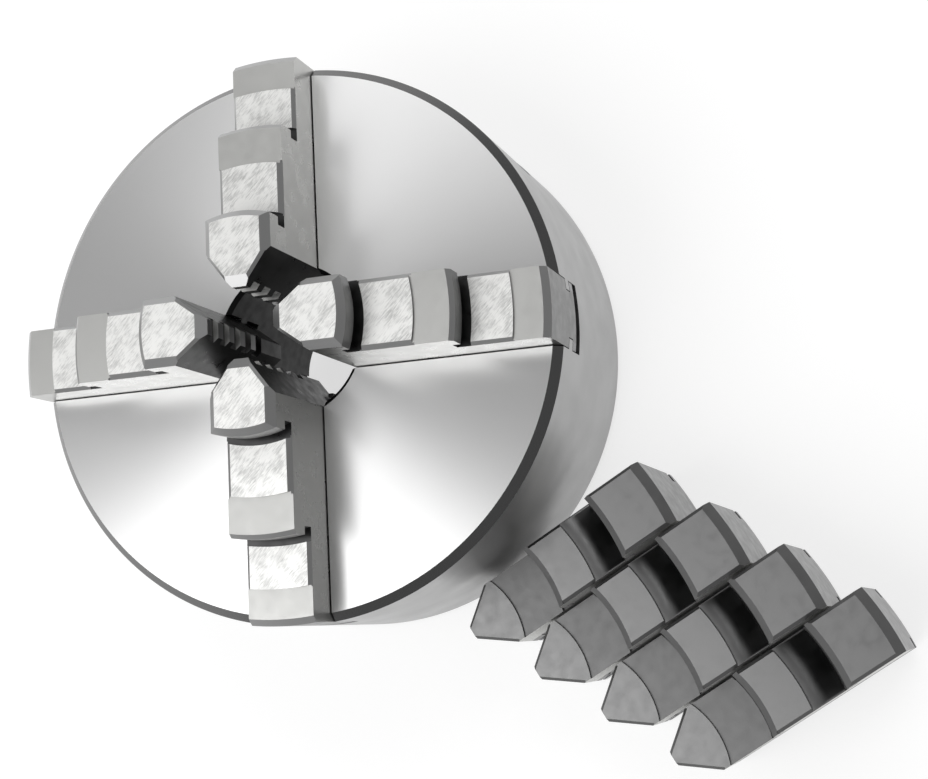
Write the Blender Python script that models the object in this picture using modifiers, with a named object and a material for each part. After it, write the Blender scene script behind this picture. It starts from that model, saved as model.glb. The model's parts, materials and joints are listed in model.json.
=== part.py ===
"""Self-centring four-jaw lathe chuck, lying on its back, with four spare outside jaws beside it.

Blender's unit here is the metre. Every size below is in millimetres and becomes metres in mm().
+Z is the chuck's axis, out of its face. The origin is the centre of the back face.
+X runs out through the first pinion, midway between jaw 1 and jaw 2.
The spare jaws stand on their scroll teeth on the plane z = 0.
"""
import math

import bmesh
import bpy
from mathutils import Matrix, Vector

# ---- Driving sizes, in millimetres ----
# Body
BODY_DIAMETER = 160.0
BODY_HEIGHT = 65.0
BORE_DIAMETER = 42.0
FACE_CHAMFER = 2.4
BACK_CHAMFER = 1.5
BORE_CHAMFER = 1.2
FLANGE_WIDTH = 15.0             # ring outside the register recess
REGISTER_DEPTH = 5.0
CAVITY_STEP = 1.0               # how far the cavity's wall stands inside the register's
HUB_WALL = 10.0
MOUNT_HOLE_DIAMETER = 6.8
MOUNT_HOLE_DEPTH = 14.0
MOUNT_HOLE_COUNT = 3
MOUNT_HOLE_INSET = 9.0          # from the rim to the holes' circle
MOUNT_HOLE_PHASE = 90.0         # degrees

# Jaws
JAW_COUNT = 4
JAW_PHASE = -45.0               # degrees, azimuth of jaw 1
JAW_WIDTH = 19.2
JAW_LENGTH = 70.3               # its rounded outer end is flush with the body's rim
JAW_END_CHAMFER = 2.5           # along the top edge of the outer end
JAW_REST_RADIUS = 9.7           # from the axis to the tip of each fitted jaw
JAW_DEPTH = 14.7                # from the chuck's face down to the roots of the jaw's teeth
NOSE_FLAT = 4.2                 # flat across the tip, between the cheeks
CHEEK_LENGTH = 10.0             # along the jaw, from the tip to where the cheeks end
TIP_BEVEL_LENGTH = 2.8          # along the top of a fitted jaw's tip
TIP_BEVEL_DROP = 2.0
LOW_STEP = 12.0                 # lowest step, above the chuck's face
STEP_RISE = 10.2
INSIDE_TREADS = (20.8, 26.5)    # fitted jaws: tip to first wall, first wall to second
OUTSIDE_TREADS = (28.8, 24.0)   # spare jaws: the same, with the steps rising outward
UNDERCUT_WIDTH = 1.6            # out from the wall, along the lower step
UNDERCUT_DEPTH = 1.0            # below the lower step
UNDERCUT_HEIGHT = 3.0           # above the lower step
UNDERCUT_REACH = 2.2            # in under the upper step
TIP_GROOVE_COUNT = 5            # serrations across the tips of the fitted jaws
TIP_GROOVE_PITCH = 6.5
TIP_GROOVE_HEIGHT = 3.6
TIP_GROOVE_DEPTH = 1.5
TIP_GROOVE_START = 4.5          # from the jaw's top down to the first
GUIDE_TOP = 7.5                 # from the face down to the guide grooves
GUIDE_HEIGHT = 4.0
GUIDE_DEPTH = 3.0

# Scroll and jaw teeth
SCROLL_PITCH = 6.5
THREAD_WIDTH = 2.6
THREAD_HEIGHT = 3.3
THREAD_FLANK = 0.25             # how much wider each side of the thread is at its root
THREAD_MARGIN = 1.2             # plain ring left inside and outside the thread
TOOTH_WIDTH = 2.6
TOOTH_SPAN = 13.0
TOOTH_END_MARGIN = 4.5          # from either end of the jaw to its first tooth
PLATE_THICKNESS = 7.0
PLATE_RIM_GAP = 1.5             # from the plate's rim to the cavity's wall

# Bevel gear and pinions
PINION_COUNT = 2
PINION_AZIMUTH = 0.0            # degrees
PINION_TEETH = 10
PINION_JOURNAL_DIAMETER = 19.0
PINION_TIP_GAP = 0.2            # from the tips of the pinion's teeth to its journal's radius
PINION_STUB_DIAMETER = 8.0
PINION_STUB_DEPTH = 6.0         # how deep the stub runs in the hub
PINION_RECESS = 0.6             # from the rim to the pinion's outer end
PINION_EDGE = 0.8               # chamfer round its outer end
KEY_SQUARE = 10.0
KEY_DEPTH = 14.0
GEAR_RING_MARGIN = 5.0          # from the plate's edge to the gear's teeth
GEAR_FACE_WIDTH = 11.0
ADDENDUM = 0.6                  # in modules
DEDENDUM = 1.0
TOOTH_SUNK = 0.3                # in modules, how far a tooth's foot is sunk in its gear
TOOTH_SHARE = 0.38              # tooth thickness as a share of the circular pitch
PRESSURE_ANGLE = math.radians(20.0)
KEEPER_GROOVE_WIDTH = 5.0
KEEPER_GROOVE_DEPTH = 1.5
KEEPER_INSET = 10.0             # from the rim to the pinion screws and their grooves
KEEPER_DIAMETER = 6.0
KEEPER_DOG_DIAMETER = 4.2
KEEPER_DOG_LENGTH = 3.0
KEEPER_SUNK = 2.0               # from the back face to the screw's slotted end
SCREW_SLOT_WIDTH = 1.0
SCREW_SLOT_DEPTH = 1.5

# Back cover and its screws
COVER_THICKNESS = 8.0
COVER_BORE_GAP = 0.5            # how much wider the cover's hole is than the bore
COVER_SCREW_COUNT = 6
COVER_SCREW_PHASE = 15.0        # degrees
COVER_SCREW_DIAMETER = 5.0
COVER_SCREW_LENGTH = 12.0
COVER_HEAD_DIAMETER = 8.5
COVER_HEAD_HEIGHT = 4.6
COVER_HEAD_SUNK = 0.6
HEX_SOCKET = 4.0
HEX_DEPTH = 2.5

# Spare jaws on the bench
SPARE_ANGLE = -15.0             # degrees from +X, tip to outer end
SPARE_GAP = 0.8                 # between the flanks of two neighbours
SPARE_STAGGER = 10.0            # from jaw to jaw, along their length
SPARE_CLEARANCE = 2.5           # from the body's rim to the first jaw's flank
SPARE_TIP_SHIFT = -8.8          # first tip, along the row, from the point nearest the chuck

# Clearances and smoothness
FIT_GAP = 0.3
SLOT_FLOOR_GAP = 0.5
OVERSHOOT = 5.0
SINK = 0.5
SEGMENTS = 72
PINION_SEGMENTS = 28
SMALL_SEGMENTS = 16
THREAD_STEPS = 36               # per turn
ARC_STEPS = 6
SHARP_ANGLE = 35.0              # degrees between faces that still shade as one
MERGE_DISTANCE = 0.01

# ---- Worked out from the sizes above ----
BODY_RADIUS = BODY_DIAMETER / 2
BORE_RADIUS = BORE_DIAMETER / 2
HUB_RADIUS = BORE_RADIUS + HUB_WALL
REGISTER_RADIUS = BODY_RADIUS - FLANGE_WIDTH
CAVITY_RADIUS = REGISTER_RADIUS - CAVITY_STEP
PLATE_INNER = HUB_RADIUS + FIT_GAP
PLATE_OUTER = CAVITY_RADIUS - PLATE_RIM_GAP
JAW_BASE_Z = BODY_HEIGHT - JAW_DEPTH
THREAD_TOP_Z = JAW_BASE_Z - FIT_GAP
PLATE_FRONT_Z = THREAD_TOP_Z - THREAD_HEIGHT
PLATE_BACK_Z = PLATE_FRONT_Z - PLATE_THICKNESS
TOOTH_TIP_Z = PLATE_FRONT_Z + FIT_GAP
TOOTH_HEIGHT = JAW_BASE_Z - TOOTH_TIP_Z
SLOT_FLOOR_Z = TOOTH_TIP_Z - SLOT_FLOOR_GAP
JAW_FACE_HEIGHT = BODY_HEIGHT - TOOTH_TIP_Z
GUIDE_TOP_Z = BODY_HEIGHT - GUIDE_TOP
THREAD_START = PLATE_INNER + THREAD_MARGIN + THREAD_WIDTH / 2
THREAD_END = PLATE_OUTER - THREAD_MARGIN - THREAD_WIDTH / 2
GEAR_OUTER = PLATE_OUTER - GEAR_RING_MARGIN
GEAR_INNER = GEAR_OUTER - GEAR_FACE_WIDTH
PINION_JOURNAL = PINION_JOURNAL_DIAMETER / 2
PINION_PITCH_GUESS = (PINION_JOURNAL - PINION_TIP_GAP) / (1 + 2 * ADDENDUM / PINION_TEETH)
GEAR_TEETH = round(GEAR_OUTER / PINION_PITCH_GUESS * PINION_TEETH)
PINION_SLOPE = PINION_TEETH / GEAR_TEETH    # pinion pitch radius for each mm of gear radius
MODULE_SLOPE = 2.0 / GEAR_TEETH             # module for each mm of gear radius
PINION_Z = PLATE_BACK_Z - GEAR_OUTER * (PINION_SLOPE + DEDENDUM * MODULE_SLOPE)
PINION_OUTER_END = BODY_RADIUS - PINION_RECESS
PINION_INNER_END = HUB_RADIUS - PINION_STUB_DEPTH + FIT_GAP
KEEPER_RADIUS = BODY_RADIUS - KEEPER_INSET
COVER_TOP_Z = REGISTER_DEPTH + COVER_THICKNESS
COVER_SCREW_CIRCLE = BORE_RADIUS + HUB_WALL / 2


def mm(value):
    """Millimetres to metres."""
    return value * 0.001


def clear_scene():
    """Remove whatever the scene holds."""
    for item in list(bpy.data.objects):
        bpy.data.objects.remove(item, do_unlink=True)


def make_collection(name, is_tool=False):
    """A collection under the scene's own; tools aren't rendered."""
    collection = bpy.data.collections.new(name)
    bpy.context.scene.collection.children.link(collection)
    collection.hide_render = is_tool
    return collection


def make_material(name, colour, roughness, metallic=1.0):
    """A plain Principled material."""
    material = bpy.data.materials.new(name)
    material.use_nodes = True
    shader = material.node_tree.nodes["Principled BSDF"]
    shader.inputs["Base Color"].default_value = (*colour, 1.0)
    shader.inputs["Roughness"].default_value = roughness
    shader.inputs["Metallic"].default_value = metallic
    return material


def new_object(name, mesh, collection, material=None):
    """An object of this mesh, in this collection."""
    item = bpy.data.objects.new(name, mesh)
    collection.objects.link(item)
    if material is not None:
        mesh.materials.append(material)
    return item


def finish_mesh(bm, name):
    """Turn a bmesh into a mesh with outward faces, smooth where its faces nearly meet flat."""
    bmesh.ops.recalc_face_normals(bm, faces=bm.faces)
    mesh = bpy.data.meshes.new(name)
    bm.to_mesh(mesh)
    bm.free()
    mesh.shade_smooth()
    mesh.set_sharp_from_angle(angle=math.radians(SHARP_ANGLE))
    return mesh


def turned(name, profile, collection, material=None, segments=SEGMENTS, closed=True):
    """A piece turned about its own Z from a profile of (radius, height), with a Screw modifier.

    The profile runs down its outer side, top to bottom. A closed one is a ring's section.
    An open one starts and ends on the axis.
    """
    count = len(profile)
    edges = [(i, i + 1) for i in range(count - 1)]
    if closed:
        edges.append((count - 1, 0))
    mesh = bpy.data.meshes.new(name)
    mesh.from_pydata([(mm(r), 0.0, mm(z)) for r, z in profile], edges, [])
    item = new_object(name, mesh, collection, material)
    screw = item.modifiers.new("Turn", "SCREW")
    screw.angle = math.tau
    screw.steps = segments
    screw.render_steps = segments
    screw.use_merge_vertices = True
    screw.merge_threshold = mm(MERGE_DISTANCE)
    return item


def use_tool(item, tool, operation):
    """Cut or join with a tool object, which stays out of the render."""
    tool.hide_render = True
    tool.display_type = "WIRE"
    modifier = item.modifiers.new(operation.title() + " " + tool.name, "BOOLEAN")
    modifier.operation = operation
    modifier.solver = "EXACT"
    modifier.object = tool


def add_cylinder(bm, radius, bottom, top, centre=(0.0, 0.0), segments=SMALL_SEGMENTS):
    """Add an upright cylinder to a bmesh."""
    height = top - bottom
    place = Matrix.Translation((mm(centre[0]), mm(centre[1]), mm(bottom + height / 2)))
    bmesh.ops.create_cone(bm, cap_ends=True, segments=segments, radius1=mm(radius),
                          radius2=mm(radius), depth=mm(height), matrix=place)


def add_box(bm, low, high):
    """Add a box to a bmesh between two corners."""
    size = [high[i] - low[i] for i in range(3)]
    middle = [mm((high[i] + low[i]) / 2) for i in range(3)]
    scale = Matrix.Diagonal((mm(size[0]), mm(size[1]), mm(size[2]), 1.0))
    bmesh.ops.create_cube(bm, size=1.0, matrix=Matrix.Translation(middle) @ scale)


def add_shaped_box(bm, corner):
    """Add a box whose corners are placed by a function of their three signs."""
    made = bmesh.ops.create_cube(bm)
    for vert in made["verts"]:
        signs = [1 if value > 0 else -1 for value in vert.co]
        vert.co = Vector([mm(value) for value in corner(*signs)])


def add_prism(bm, outline, bottom, top):
    """Add an upright prism over an outline of (x, y) points."""
    verts = [bm.verts.new((mm(x), mm(y), mm(bottom))) for x, y in outline]
    face = bm.faces.new(verts)
    made = bmesh.ops.extrude_face_region(bm, geom=[face])
    lifted = [item for item in made["geom"] if isinstance(item, bmesh.types.BMVert)]
    bmesh.ops.translate(bm, verts=lifted, vec=(0.0, 0.0, mm(top - bottom)))


def radial_place(azimuth, height):
    """A frame whose Z points out along a radius and whose X points up the chuck's axis."""
    outward = Vector((math.cos(azimuth), math.sin(azimuth), 0.0))
    up = Vector((0.0, 0.0, 1.0))
    across = outward.cross(up)
    turn = Matrix((up, across, outward)).transposed().to_4x4()
    return Matrix.Translation((0.0, 0.0, mm(height))) @ turn


def around(count, phase=0.0):
    """Evenly spaced azimuths, in radians, from a phase in degrees."""
    return [math.radians(phase) + math.tau * i / count for i in range(count)]


# ---- Chuck body ----
def body_profile():
    """The body's section: outer wall, register, cavity, hub and bore."""
    return [
        (BODY_RADIUS - FACE_CHAMFER, BODY_HEIGHT),
        (BODY_RADIUS, BODY_HEIGHT - FACE_CHAMFER),
        (BODY_RADIUS, BACK_CHAMFER),
        (BODY_RADIUS - BACK_CHAMFER, 0.0),
        (REGISTER_RADIUS, 0.0),
        (REGISTER_RADIUS, REGISTER_DEPTH),
        (CAVITY_RADIUS, REGISTER_DEPTH),
        (CAVITY_RADIUS, JAW_BASE_Z),
        (HUB_RADIUS, JAW_BASE_Z),
        (HUB_RADIUS, COVER_TOP_Z + FIT_GAP),
        (BORE_RADIUS, COVER_TOP_Z + FIT_GAP),
        (BORE_RADIUS, BODY_HEIGHT - BORE_CHAMFER),
        (BORE_RADIUS + BORE_CHAMFER, BODY_HEIGHT),
    ]


def slot_cutter(name, azimuth, tools):
    """A long T-slot right across the body: two opposite jaw ways in one cut."""
    wide = JAW_WIDTH / 2 + FIT_GAP
    neck = JAW_WIDTH / 2 - GUIDE_DEPTH + FIT_GAP
    tongue_top = GUIDE_TOP_Z - FIT_GAP
    tongue_bottom = GUIDE_TOP_Z - GUIDE_HEIGHT + FIT_GAP
    half = [
        (wide, SLOT_FLOOR_Z),
        (wide, tongue_bottom),
        (neck, tongue_bottom),
        (neck, tongue_top),
        (wide, tongue_top),
        (wide, BODY_HEIGHT + OVERSHOOT),
    ]
    outline = half + [(-y, z) for y, z in reversed(half)]
    bm = bmesh.new()
    reach = BODY_RADIUS + OVERSHOOT
    add_prism(bm, outline, -reach, reach)
    stand_up = Matrix(((0, 0, 1), (1, 0, 0), (0, 1, 0))).to_4x4()
    bmesh.ops.transform(bm, matrix=stand_up, verts=bm.verts)
    cutter = new_object(name, finish_mesh(bm, name), tools)
    cutter.rotation_euler.z = azimuth
    return cutter


def pinion_bore_cutter(name, azimuth, tools):
    """A stepped radial bore: the journal's hole in the wall and the stub's hole in the hub."""
    middle = (HUB_RADIUS + CAVITY_RADIUS) / 2
    journal = PINION_JOURNAL + FIT_GAP
    stub = PINION_STUB_DIAMETER / 2 + FIT_GAP
    profile = [
        (0.0, BODY_RADIUS + OVERSHOOT),
        (journal, BODY_RADIUS + OVERSHOOT),
        (journal, middle),
        (stub, middle),
        (stub, HUB_RADIUS - PINION_STUB_DEPTH),
        (0.0, HUB_RADIUS - PINION_STUB_DEPTH),
    ]
    cutter = turned(name, profile, tools, segments=PINION_SEGMENTS, closed=False)
    cutter.matrix_world = radial_place(azimuth, PINION_Z)
    return cutter


def back_hole_cutters(tools):
    """The holes drilled from the back: mounting, pinion screws and cover screws."""
    wide_holes = bmesh.new()
    for azimuth in around(MOUNT_HOLE_COUNT, MOUNT_HOLE_PHASE):
        radius = BODY_RADIUS - MOUNT_HOLE_INSET
        centre = (radius * math.cos(azimuth), radius * math.sin(azimuth))
        add_cylinder(wide_holes, MOUNT_HOLE_DIAMETER / 2, -OVERSHOOT, MOUNT_HOLE_DEPTH, centre)
    shoulder = keeper_tip_z() - KEEPER_DOG_LENGTH + FIT_GAP
    for azimuth in around(PINION_COUNT, PINION_AZIMUTH):
        centre = (KEEPER_RADIUS * math.cos(azimuth), KEEPER_RADIUS * math.sin(azimuth))
        add_cylinder(wide_holes, KEEPER_DIAMETER / 2 + FIT_GAP, -OVERSHOOT, shoulder, centre)
    for azimuth in around(COVER_SCREW_COUNT, COVER_SCREW_PHASE):
        centre = (COVER_SCREW_CIRCLE * math.cos(azimuth), COVER_SCREW_CIRCLE * math.sin(azimuth))
        add_cylinder(wide_holes, COVER_SCREW_DIAMETER / 2 + FIT_GAP, COVER_TOP_Z - OVERSHOOT,
                     cover_screw_tip_z() + FIT_GAP, centre)
    dog_holes = bmesh.new()
    for azimuth in around(PINION_COUNT, PINION_AZIMUTH):
        centre = (KEEPER_RADIUS * math.cos(azimuth), KEEPER_RADIUS * math.sin(azimuth))
        add_cylinder(dog_holes, KEEPER_DOG_DIAMETER / 2 + FIT_GAP, shoulder - SINK, PINION_Z, centre)
    return [
        new_object("back_holes_cutter", finish_mesh(wide_holes, "back_holes"), tools),
        new_object("dog_holes_cutter", finish_mesh(dog_holes, "dog_holes"), tools),
    ]


def make_body(parts, tools, steel):
    """The one-piece steel body."""
    body = turned("chuck_body", body_profile(), parts, steel)
    for index, azimuth in enumerate(around(JAW_COUNT, JAW_PHASE)[:JAW_COUNT // 2]):
        use_tool(body, slot_cutter(f"jaw_slot_cutter_{index + 1}", azimuth, tools), "DIFFERENCE")
    for index, azimuth in enumerate(around(PINION_COUNT, PINION_AZIMUTH)):
        cutter = pinion_bore_cutter(f"pinion_bore_cutter_{index + 1}", azimuth, tools)
        use_tool(body, cutter, "DIFFERENCE")
    for cutter in back_hole_cutters(tools):
        use_tool(body, cutter, "DIFFERENCE")
    return body


# ---- Scroll plate ----
def thread_radius(turn_angle):
    """Radius of the middle of the scroll's thread, after this angle from its start."""
    return THREAD_START + SCROLL_PITCH * turn_angle / math.tau


def make_thread(tools):
    """The spiral thread, one long ridge with its root sunk into the plate."""
    last = math.floor((THREAD_END - THREAD_START) / SCROLL_PITCH * THREAD_STEPS)
    root = THREAD_WIDTH / 2 + THREAD_FLANK
    crest = THREAD_WIDTH / 2
    section = [
        (-root, PLATE_FRONT_Z - SINK),
        (root, PLATE_FRONT_Z - SINK),
        (crest, THREAD_TOP_Z),
        (-crest, THREAD_TOP_Z),
    ]
    bm = bmesh.new()
    rings = []
    for step in range(last + 1):
        angle = math.tau * step / THREAD_STEPS
        radius = thread_radius(angle)
        rings.append([
            bm.verts.new((mm((radius + side) * math.cos(angle)),
                          mm((radius + side) * math.sin(angle)), mm(z)))
            for side, z in section
        ])
    for before, after in zip(rings, rings[1:]):
        for i in range(len(section)):
            j = (i + 1) % len(section)
            bm.faces.new((before[i], before[j], after[j], after[i]))
    bm.faces.new(rings[0])
    bm.faces.new(list(reversed(rings[-1])))
    return new_object("scroll_thread", finish_mesh(bm, "scroll_thread"), tools)


def tooth_half_width(radius, height):
    """Half a bevel tooth's thickness, at a gear radius and a height in modules above the pitch."""
    module = radius * MODULE_SLOPE
    return module * (TOOTH_SHARE * math.pi / 2 - height * math.tan(PRESSURE_ANGLE))


def make_gear_teeth(tools):
    """The bevel teeth on the plate's back, pointing down at the pinions."""
    bm = bmesh.new()
    root_height = -(DEDENDUM + TOOTH_SUNK)
    for tooth in range(GEAR_TEETH):
        azimuth = math.tau * tooth / GEAR_TEETH

        def corner(sign_r, sign_t, sign_z):
            radius = GEAR_OUTER if sign_r > 0 else GEAR_INNER
            height = ADDENDUM if sign_z < 0 else root_height
            turn = azimuth + sign_t * tooth_half_width(radius, height) / radius
            z = PINION_Z + radius * (PINION_SLOPE - height * MODULE_SLOPE)
            return (radius * math.cos(turn), radius * math.sin(turn), z)

        add_shaped_box(bm, corner)
    return new_object("gear_teeth", finish_mesh(bm, "gear_teeth"), tools)


def gear_root_z(radius):
    """Height of the gear's root cone at this radius."""
    return PINION_Z + radius * (PINION_SLOPE + DEDENDUM * MODULE_SLOPE)


def make_scroll_plate(parts, tools, steel):
    """The scroll plate: spiral thread in front, bevel gear behind."""
    cone_edge = GEAR_OUTER + SINK
    profile = [
        (PLATE_INNER, PLATE_FRONT_Z),
        (PLATE_OUTER, PLATE_FRONT_Z),
        (PLATE_OUTER, gear_root_z(cone_edge)),
        (cone_edge, gear_root_z(cone_edge)),
        (PLATE_INNER, gear_root_z(PLATE_INNER)),
    ]
    plate = turned("scroll_plate", profile, parts, steel, segments=GEAR_TEETH)
    use_tool(plate, make_thread(tools), "UNION")
    use_tool(plate, make_gear_teeth(tools), "UNION")
    return plate


# ---- Pinions and their screws ----
def pinion_profile():
    """The pinion's section along its axis, from its outer end to the stub's end."""
    groove_half = KEEPER_GROOVE_WIDTH / 2
    root_slope = PINION_SLOPE - DEDENDUM * MODULE_SLOPE
    groove_floor = PINION_JOURNAL - KEEPER_GROOVE_DEPTH
    stub = PINION_STUB_DIAMETER / 2
    return [
        (0.0, PINION_OUTER_END),
        (PINION_JOURNAL - PINION_EDGE, PINION_OUTER_END),
        (PINION_JOURNAL, PINION_OUTER_END - PINION_EDGE),
        (PINION_JOURNAL, KEEPER_RADIUS + groove_half),
        (groove_floor, KEEPER_RADIUS + groove_half),
        (groove_floor, KEEPER_RADIUS - groove_half),
        (PINION_JOURNAL, KEEPER_RADIUS - groove_half),
        (PINION_JOURNAL, GEAR_OUTER + 2 * SINK),
        (GEAR_OUTER * root_slope, GEAR_OUTER + 2 * SINK),
        (GEAR_INNER * root_slope, GEAR_INNER - SINK),
        (stub, GEAR_INNER - SINK),
        (stub, PINION_INNER_END),
        (0.0, PINION_INNER_END),
    ]


def make_pinion_teeth(name, phase, tools):
    """The pinion's bevel teeth about its own Z."""
    bm = bmesh.new()
    root_height = -(DEDENDUM + TOOTH_SUNK)
    for tooth in range(PINION_TEETH):
        azimuth = phase + math.tau * tooth / PINION_TEETH

        def corner(sign_r, sign_t, sign_z):
            radius = GEAR_OUTER if sign_z > 0 else GEAR_INNER
            height = ADDENDUM if sign_r > 0 else root_height
            reach = radius * (PINION_SLOPE + height * MODULE_SLOPE)
            turn = azimuth + sign_t * tooth_half_width(radius, height) / reach
            return (reach * math.cos(turn), reach * math.sin(turn), radius)

        add_shaped_box(bm, corner)
    return new_object(name, finish_mesh(bm, name), tools)


def mesh_phase(azimuth):
    """Turn of the pinion's first tooth that puts its teeth between the gear's at this azimuth."""
    gear_phase = (azimuth * GEAR_TEETH / math.tau) % 1.0
    return -(0.5 - gear_phase) * math.tau / PINION_TEETH


def make_pinion(number, azimuth, parts, tools, steel):
    """A bevel pinion with a square socket for the chuck key."""
    place = radial_place(azimuth, PINION_Z)
    pinion = turned(f"pinion_{number}", pinion_profile(), parts, steel, PINION_SEGMENTS,
                    closed=False)
    pinion.matrix_world = place
    teeth = make_pinion_teeth(f"pinion_teeth_{number}", mesh_phase(azimuth), tools)
    teeth.matrix_world = place
    use_tool(pinion, teeth, "UNION")
    bm = bmesh.new()
    half = KEY_SQUARE / 2
    add_box(bm, (-half, -half, PINION_OUTER_END - KEY_DEPTH),
            (half, half, PINION_OUTER_END + OVERSHOOT))
    socket = new_object(f"key_socket_cutter_{number}", finish_mesh(bm, "key_socket"), tools)
    socket.matrix_world = place
    use_tool(pinion, socket, "DIFFERENCE")
    return pinion


def keeper_tip_z():
    """Height of the dog's tip, just under the floor of the pinion's groove."""
    return PINION_Z - (PINION_JOURNAL - KEEPER_GROOVE_DEPTH) - FIT_GAP


def make_pinion_screw(number, azimuth, parts, tools, steel):
    """A slotted dog-point screw that keeps a pinion in its bore."""
    tip = keeper_tip_z()
    body = KEEPER_DIAMETER / 2
    dog = KEEPER_DOG_DIAMETER / 2
    profile = [
        (0.0, tip),
        (dog, tip),
        (dog, tip - KEEPER_DOG_LENGTH),
        (body, tip - KEEPER_DOG_LENGTH),
        (body, KEEPER_SUNK),
        (0.0, KEEPER_SUNK),
    ]
    screw = turned(f"pinion_screw_{number}", profile, parts, steel, SMALL_SEGMENTS, closed=False)
    place = (mm(KEEPER_RADIUS * math.cos(azimuth)), mm(KEEPER_RADIUS * math.sin(azimuth)), 0.0)
    screw.location = place
    bm = bmesh.new()
    half = SCREW_SLOT_WIDTH / 2
    add_box(bm, (-body - SINK, -half, KEEPER_SUNK - SINK),
            (body + SINK, half, KEEPER_SUNK + SCREW_SLOT_DEPTH))
    slot = new_object(f"screw_slot_cutter_{number}", finish_mesh(bm, "screw_slot"), tools)
    slot.location = place
    use_tool(screw, slot, "DIFFERENCE")
    return screw


# ---- Back cover and its screws ----
def cover_head_floor_z():
    """Height of the counterbores' floors in the cover."""
    return REGISTER_DEPTH + COVER_HEAD_SUNK + COVER_HEAD_HEIGHT


def cover_screw_tip_z():
    """Height of the cover screws' tips, in the hub."""
    return cover_head_floor_z() + COVER_SCREW_LENGTH


def make_cover(parts, tools, steel):
    """The ring that closes the body's back, inside the register recess."""
    inner = BORE_RADIUS + COVER_BORE_GAP
    outer = CAVITY_RADIUS - FIT_GAP
    profile = [
        (inner, COVER_TOP_Z),
        (outer, COVER_TOP_Z),
        (outer, REGISTER_DEPTH),
        (inner, REGISTER_DEPTH),
    ]
    cover = turned("back_cover", profile, parts, steel)
    holes = bmesh.new()
    heads = bmesh.new()
    for azimuth in around(COVER_SCREW_COUNT, COVER_SCREW_PHASE):
        centre = (COVER_SCREW_CIRCLE * math.cos(azimuth), COVER_SCREW_CIRCLE * math.sin(azimuth))
        floor = cover_head_floor_z() + FIT_GAP
        add_cylinder(holes, COVER_SCREW_DIAMETER / 2 + FIT_GAP, floor - SINK,
                     COVER_TOP_Z + OVERSHOOT, centre)
        add_cylinder(heads, COVER_HEAD_DIAMETER / 2 + FIT_GAP, -OVERSHOOT, floor, centre)
    use_tool(cover, new_object("cover_heads_cutter", finish_mesh(heads, "cover_heads"), tools),
             "DIFFERENCE")
    use_tool(cover, new_object("cover_holes_cutter", finish_mesh(holes, "cover_holes"), tools),
             "DIFFERENCE")
    return cover


def make_cover_screw(number, azimuth, parts, tools, steel):
    """A cap screw, head down in the cover and shank up in the hub."""
    head = COVER_HEAD_DIAMETER / 2
    shank = COVER_SCREW_DIAMETER / 2
    head_bottom = REGISTER_DEPTH + COVER_HEAD_SUNK
    profile = [
        (0.0, cover_screw_tip_z()),
        (shank, cover_screw_tip_z()),
        (shank, cover_head_floor_z()),
        (head, cover_head_floor_z()),
        (head, head_bottom),
        (0.0, head_bottom),
    ]
    screw = turned(f"cover_screw_{number}", profile, parts, steel, SMALL_SEGMENTS, closed=False)
    place = (mm(COVER_SCREW_CIRCLE * math.cos(azimuth)),
             mm(COVER_SCREW_CIRCLE * math.sin(azimuth)), 0.0)
    screw.location = place
    bm = bmesh.new()
    across_corners = HEX_SOCKET / math.sqrt(3.0)
    add_cylinder(bm, across_corners, head_bottom - SINK, head_bottom + HEX_DEPTH, segments=6)
    socket = new_object(f"hex_socket_cutter_{number}", finish_mesh(bm, "hex_socket"), tools)
    socket.location = place
    use_tool(screw, socket, "DIFFERENCE")
    return screw


# ---- Jaws, made with their tips at x = 0 and their teeth standing on z = 0 ----
def wall_arc(distance, reach, half_width):
    """Points along a step's wall, an arc about the chuck's axis, across the jaw."""
    radius = distance + reach
    points = []
    for step in range(ARC_STEPS + 1):
        y = half_width * (2.0 * step / ARC_STEPS - 1.0)
        points.append((distance - radius + math.sqrt(radius * radius - y * y), y))
    return points


def jaw_outline():
    """The jaw seen from above: a tip with two cheeks, straight flanks and a rounded outer end."""
    half = JAW_WIDTH / 2
    tip = [(0.0, NOSE_FLAT / 2), (0.0, -NOSE_FLAT / 2), (CHEEK_LENGTH, -half)]
    return tip + wall_arc(JAW_LENGTH, JAW_REST_RADIUS, half) + [(CHEEK_LENGTH, half)]


def step_cutter(name, distance, level, rises_outward, tools):
    """What is cut away on the low side of a wall, down to the level of the lower step."""
    half = JAW_WIDTH / 2 + OVERSHOOT
    arc = wall_arc(distance, JAW_REST_RADIUS, half)
    far = -OVERSHOOT if rises_outward else JAW_LENGTH + OVERSHOOT
    outline = arc + [(far, half), (far, -half)]
    bm = bmesh.new()
    add_prism(bm, outline, level, jaw_top() + OVERSHOOT)
    return new_object(name, finish_mesh(bm, name), tools)


def undercut_cutter(name, distance, level, rises_outward, tools):
    """The relief groove at the foot of a wall."""
    half = JAW_WIDTH / 2 + OVERSHOOT
    low_side = -1 if rises_outward else 1
    near = wall_arc(distance - UNDERCUT_REACH * low_side, JAW_REST_RADIUS, half)
    far = wall_arc(distance + UNDERCUT_WIDTH * low_side, JAW_REST_RADIUS, half)
    bm = bmesh.new()
    add_prism(bm, near + list(reversed(far)), level - UNDERCUT_DEPTH, level + UNDERCUT_HEIGHT)
    return new_object(name, finish_mesh(bm, name), tools)


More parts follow.
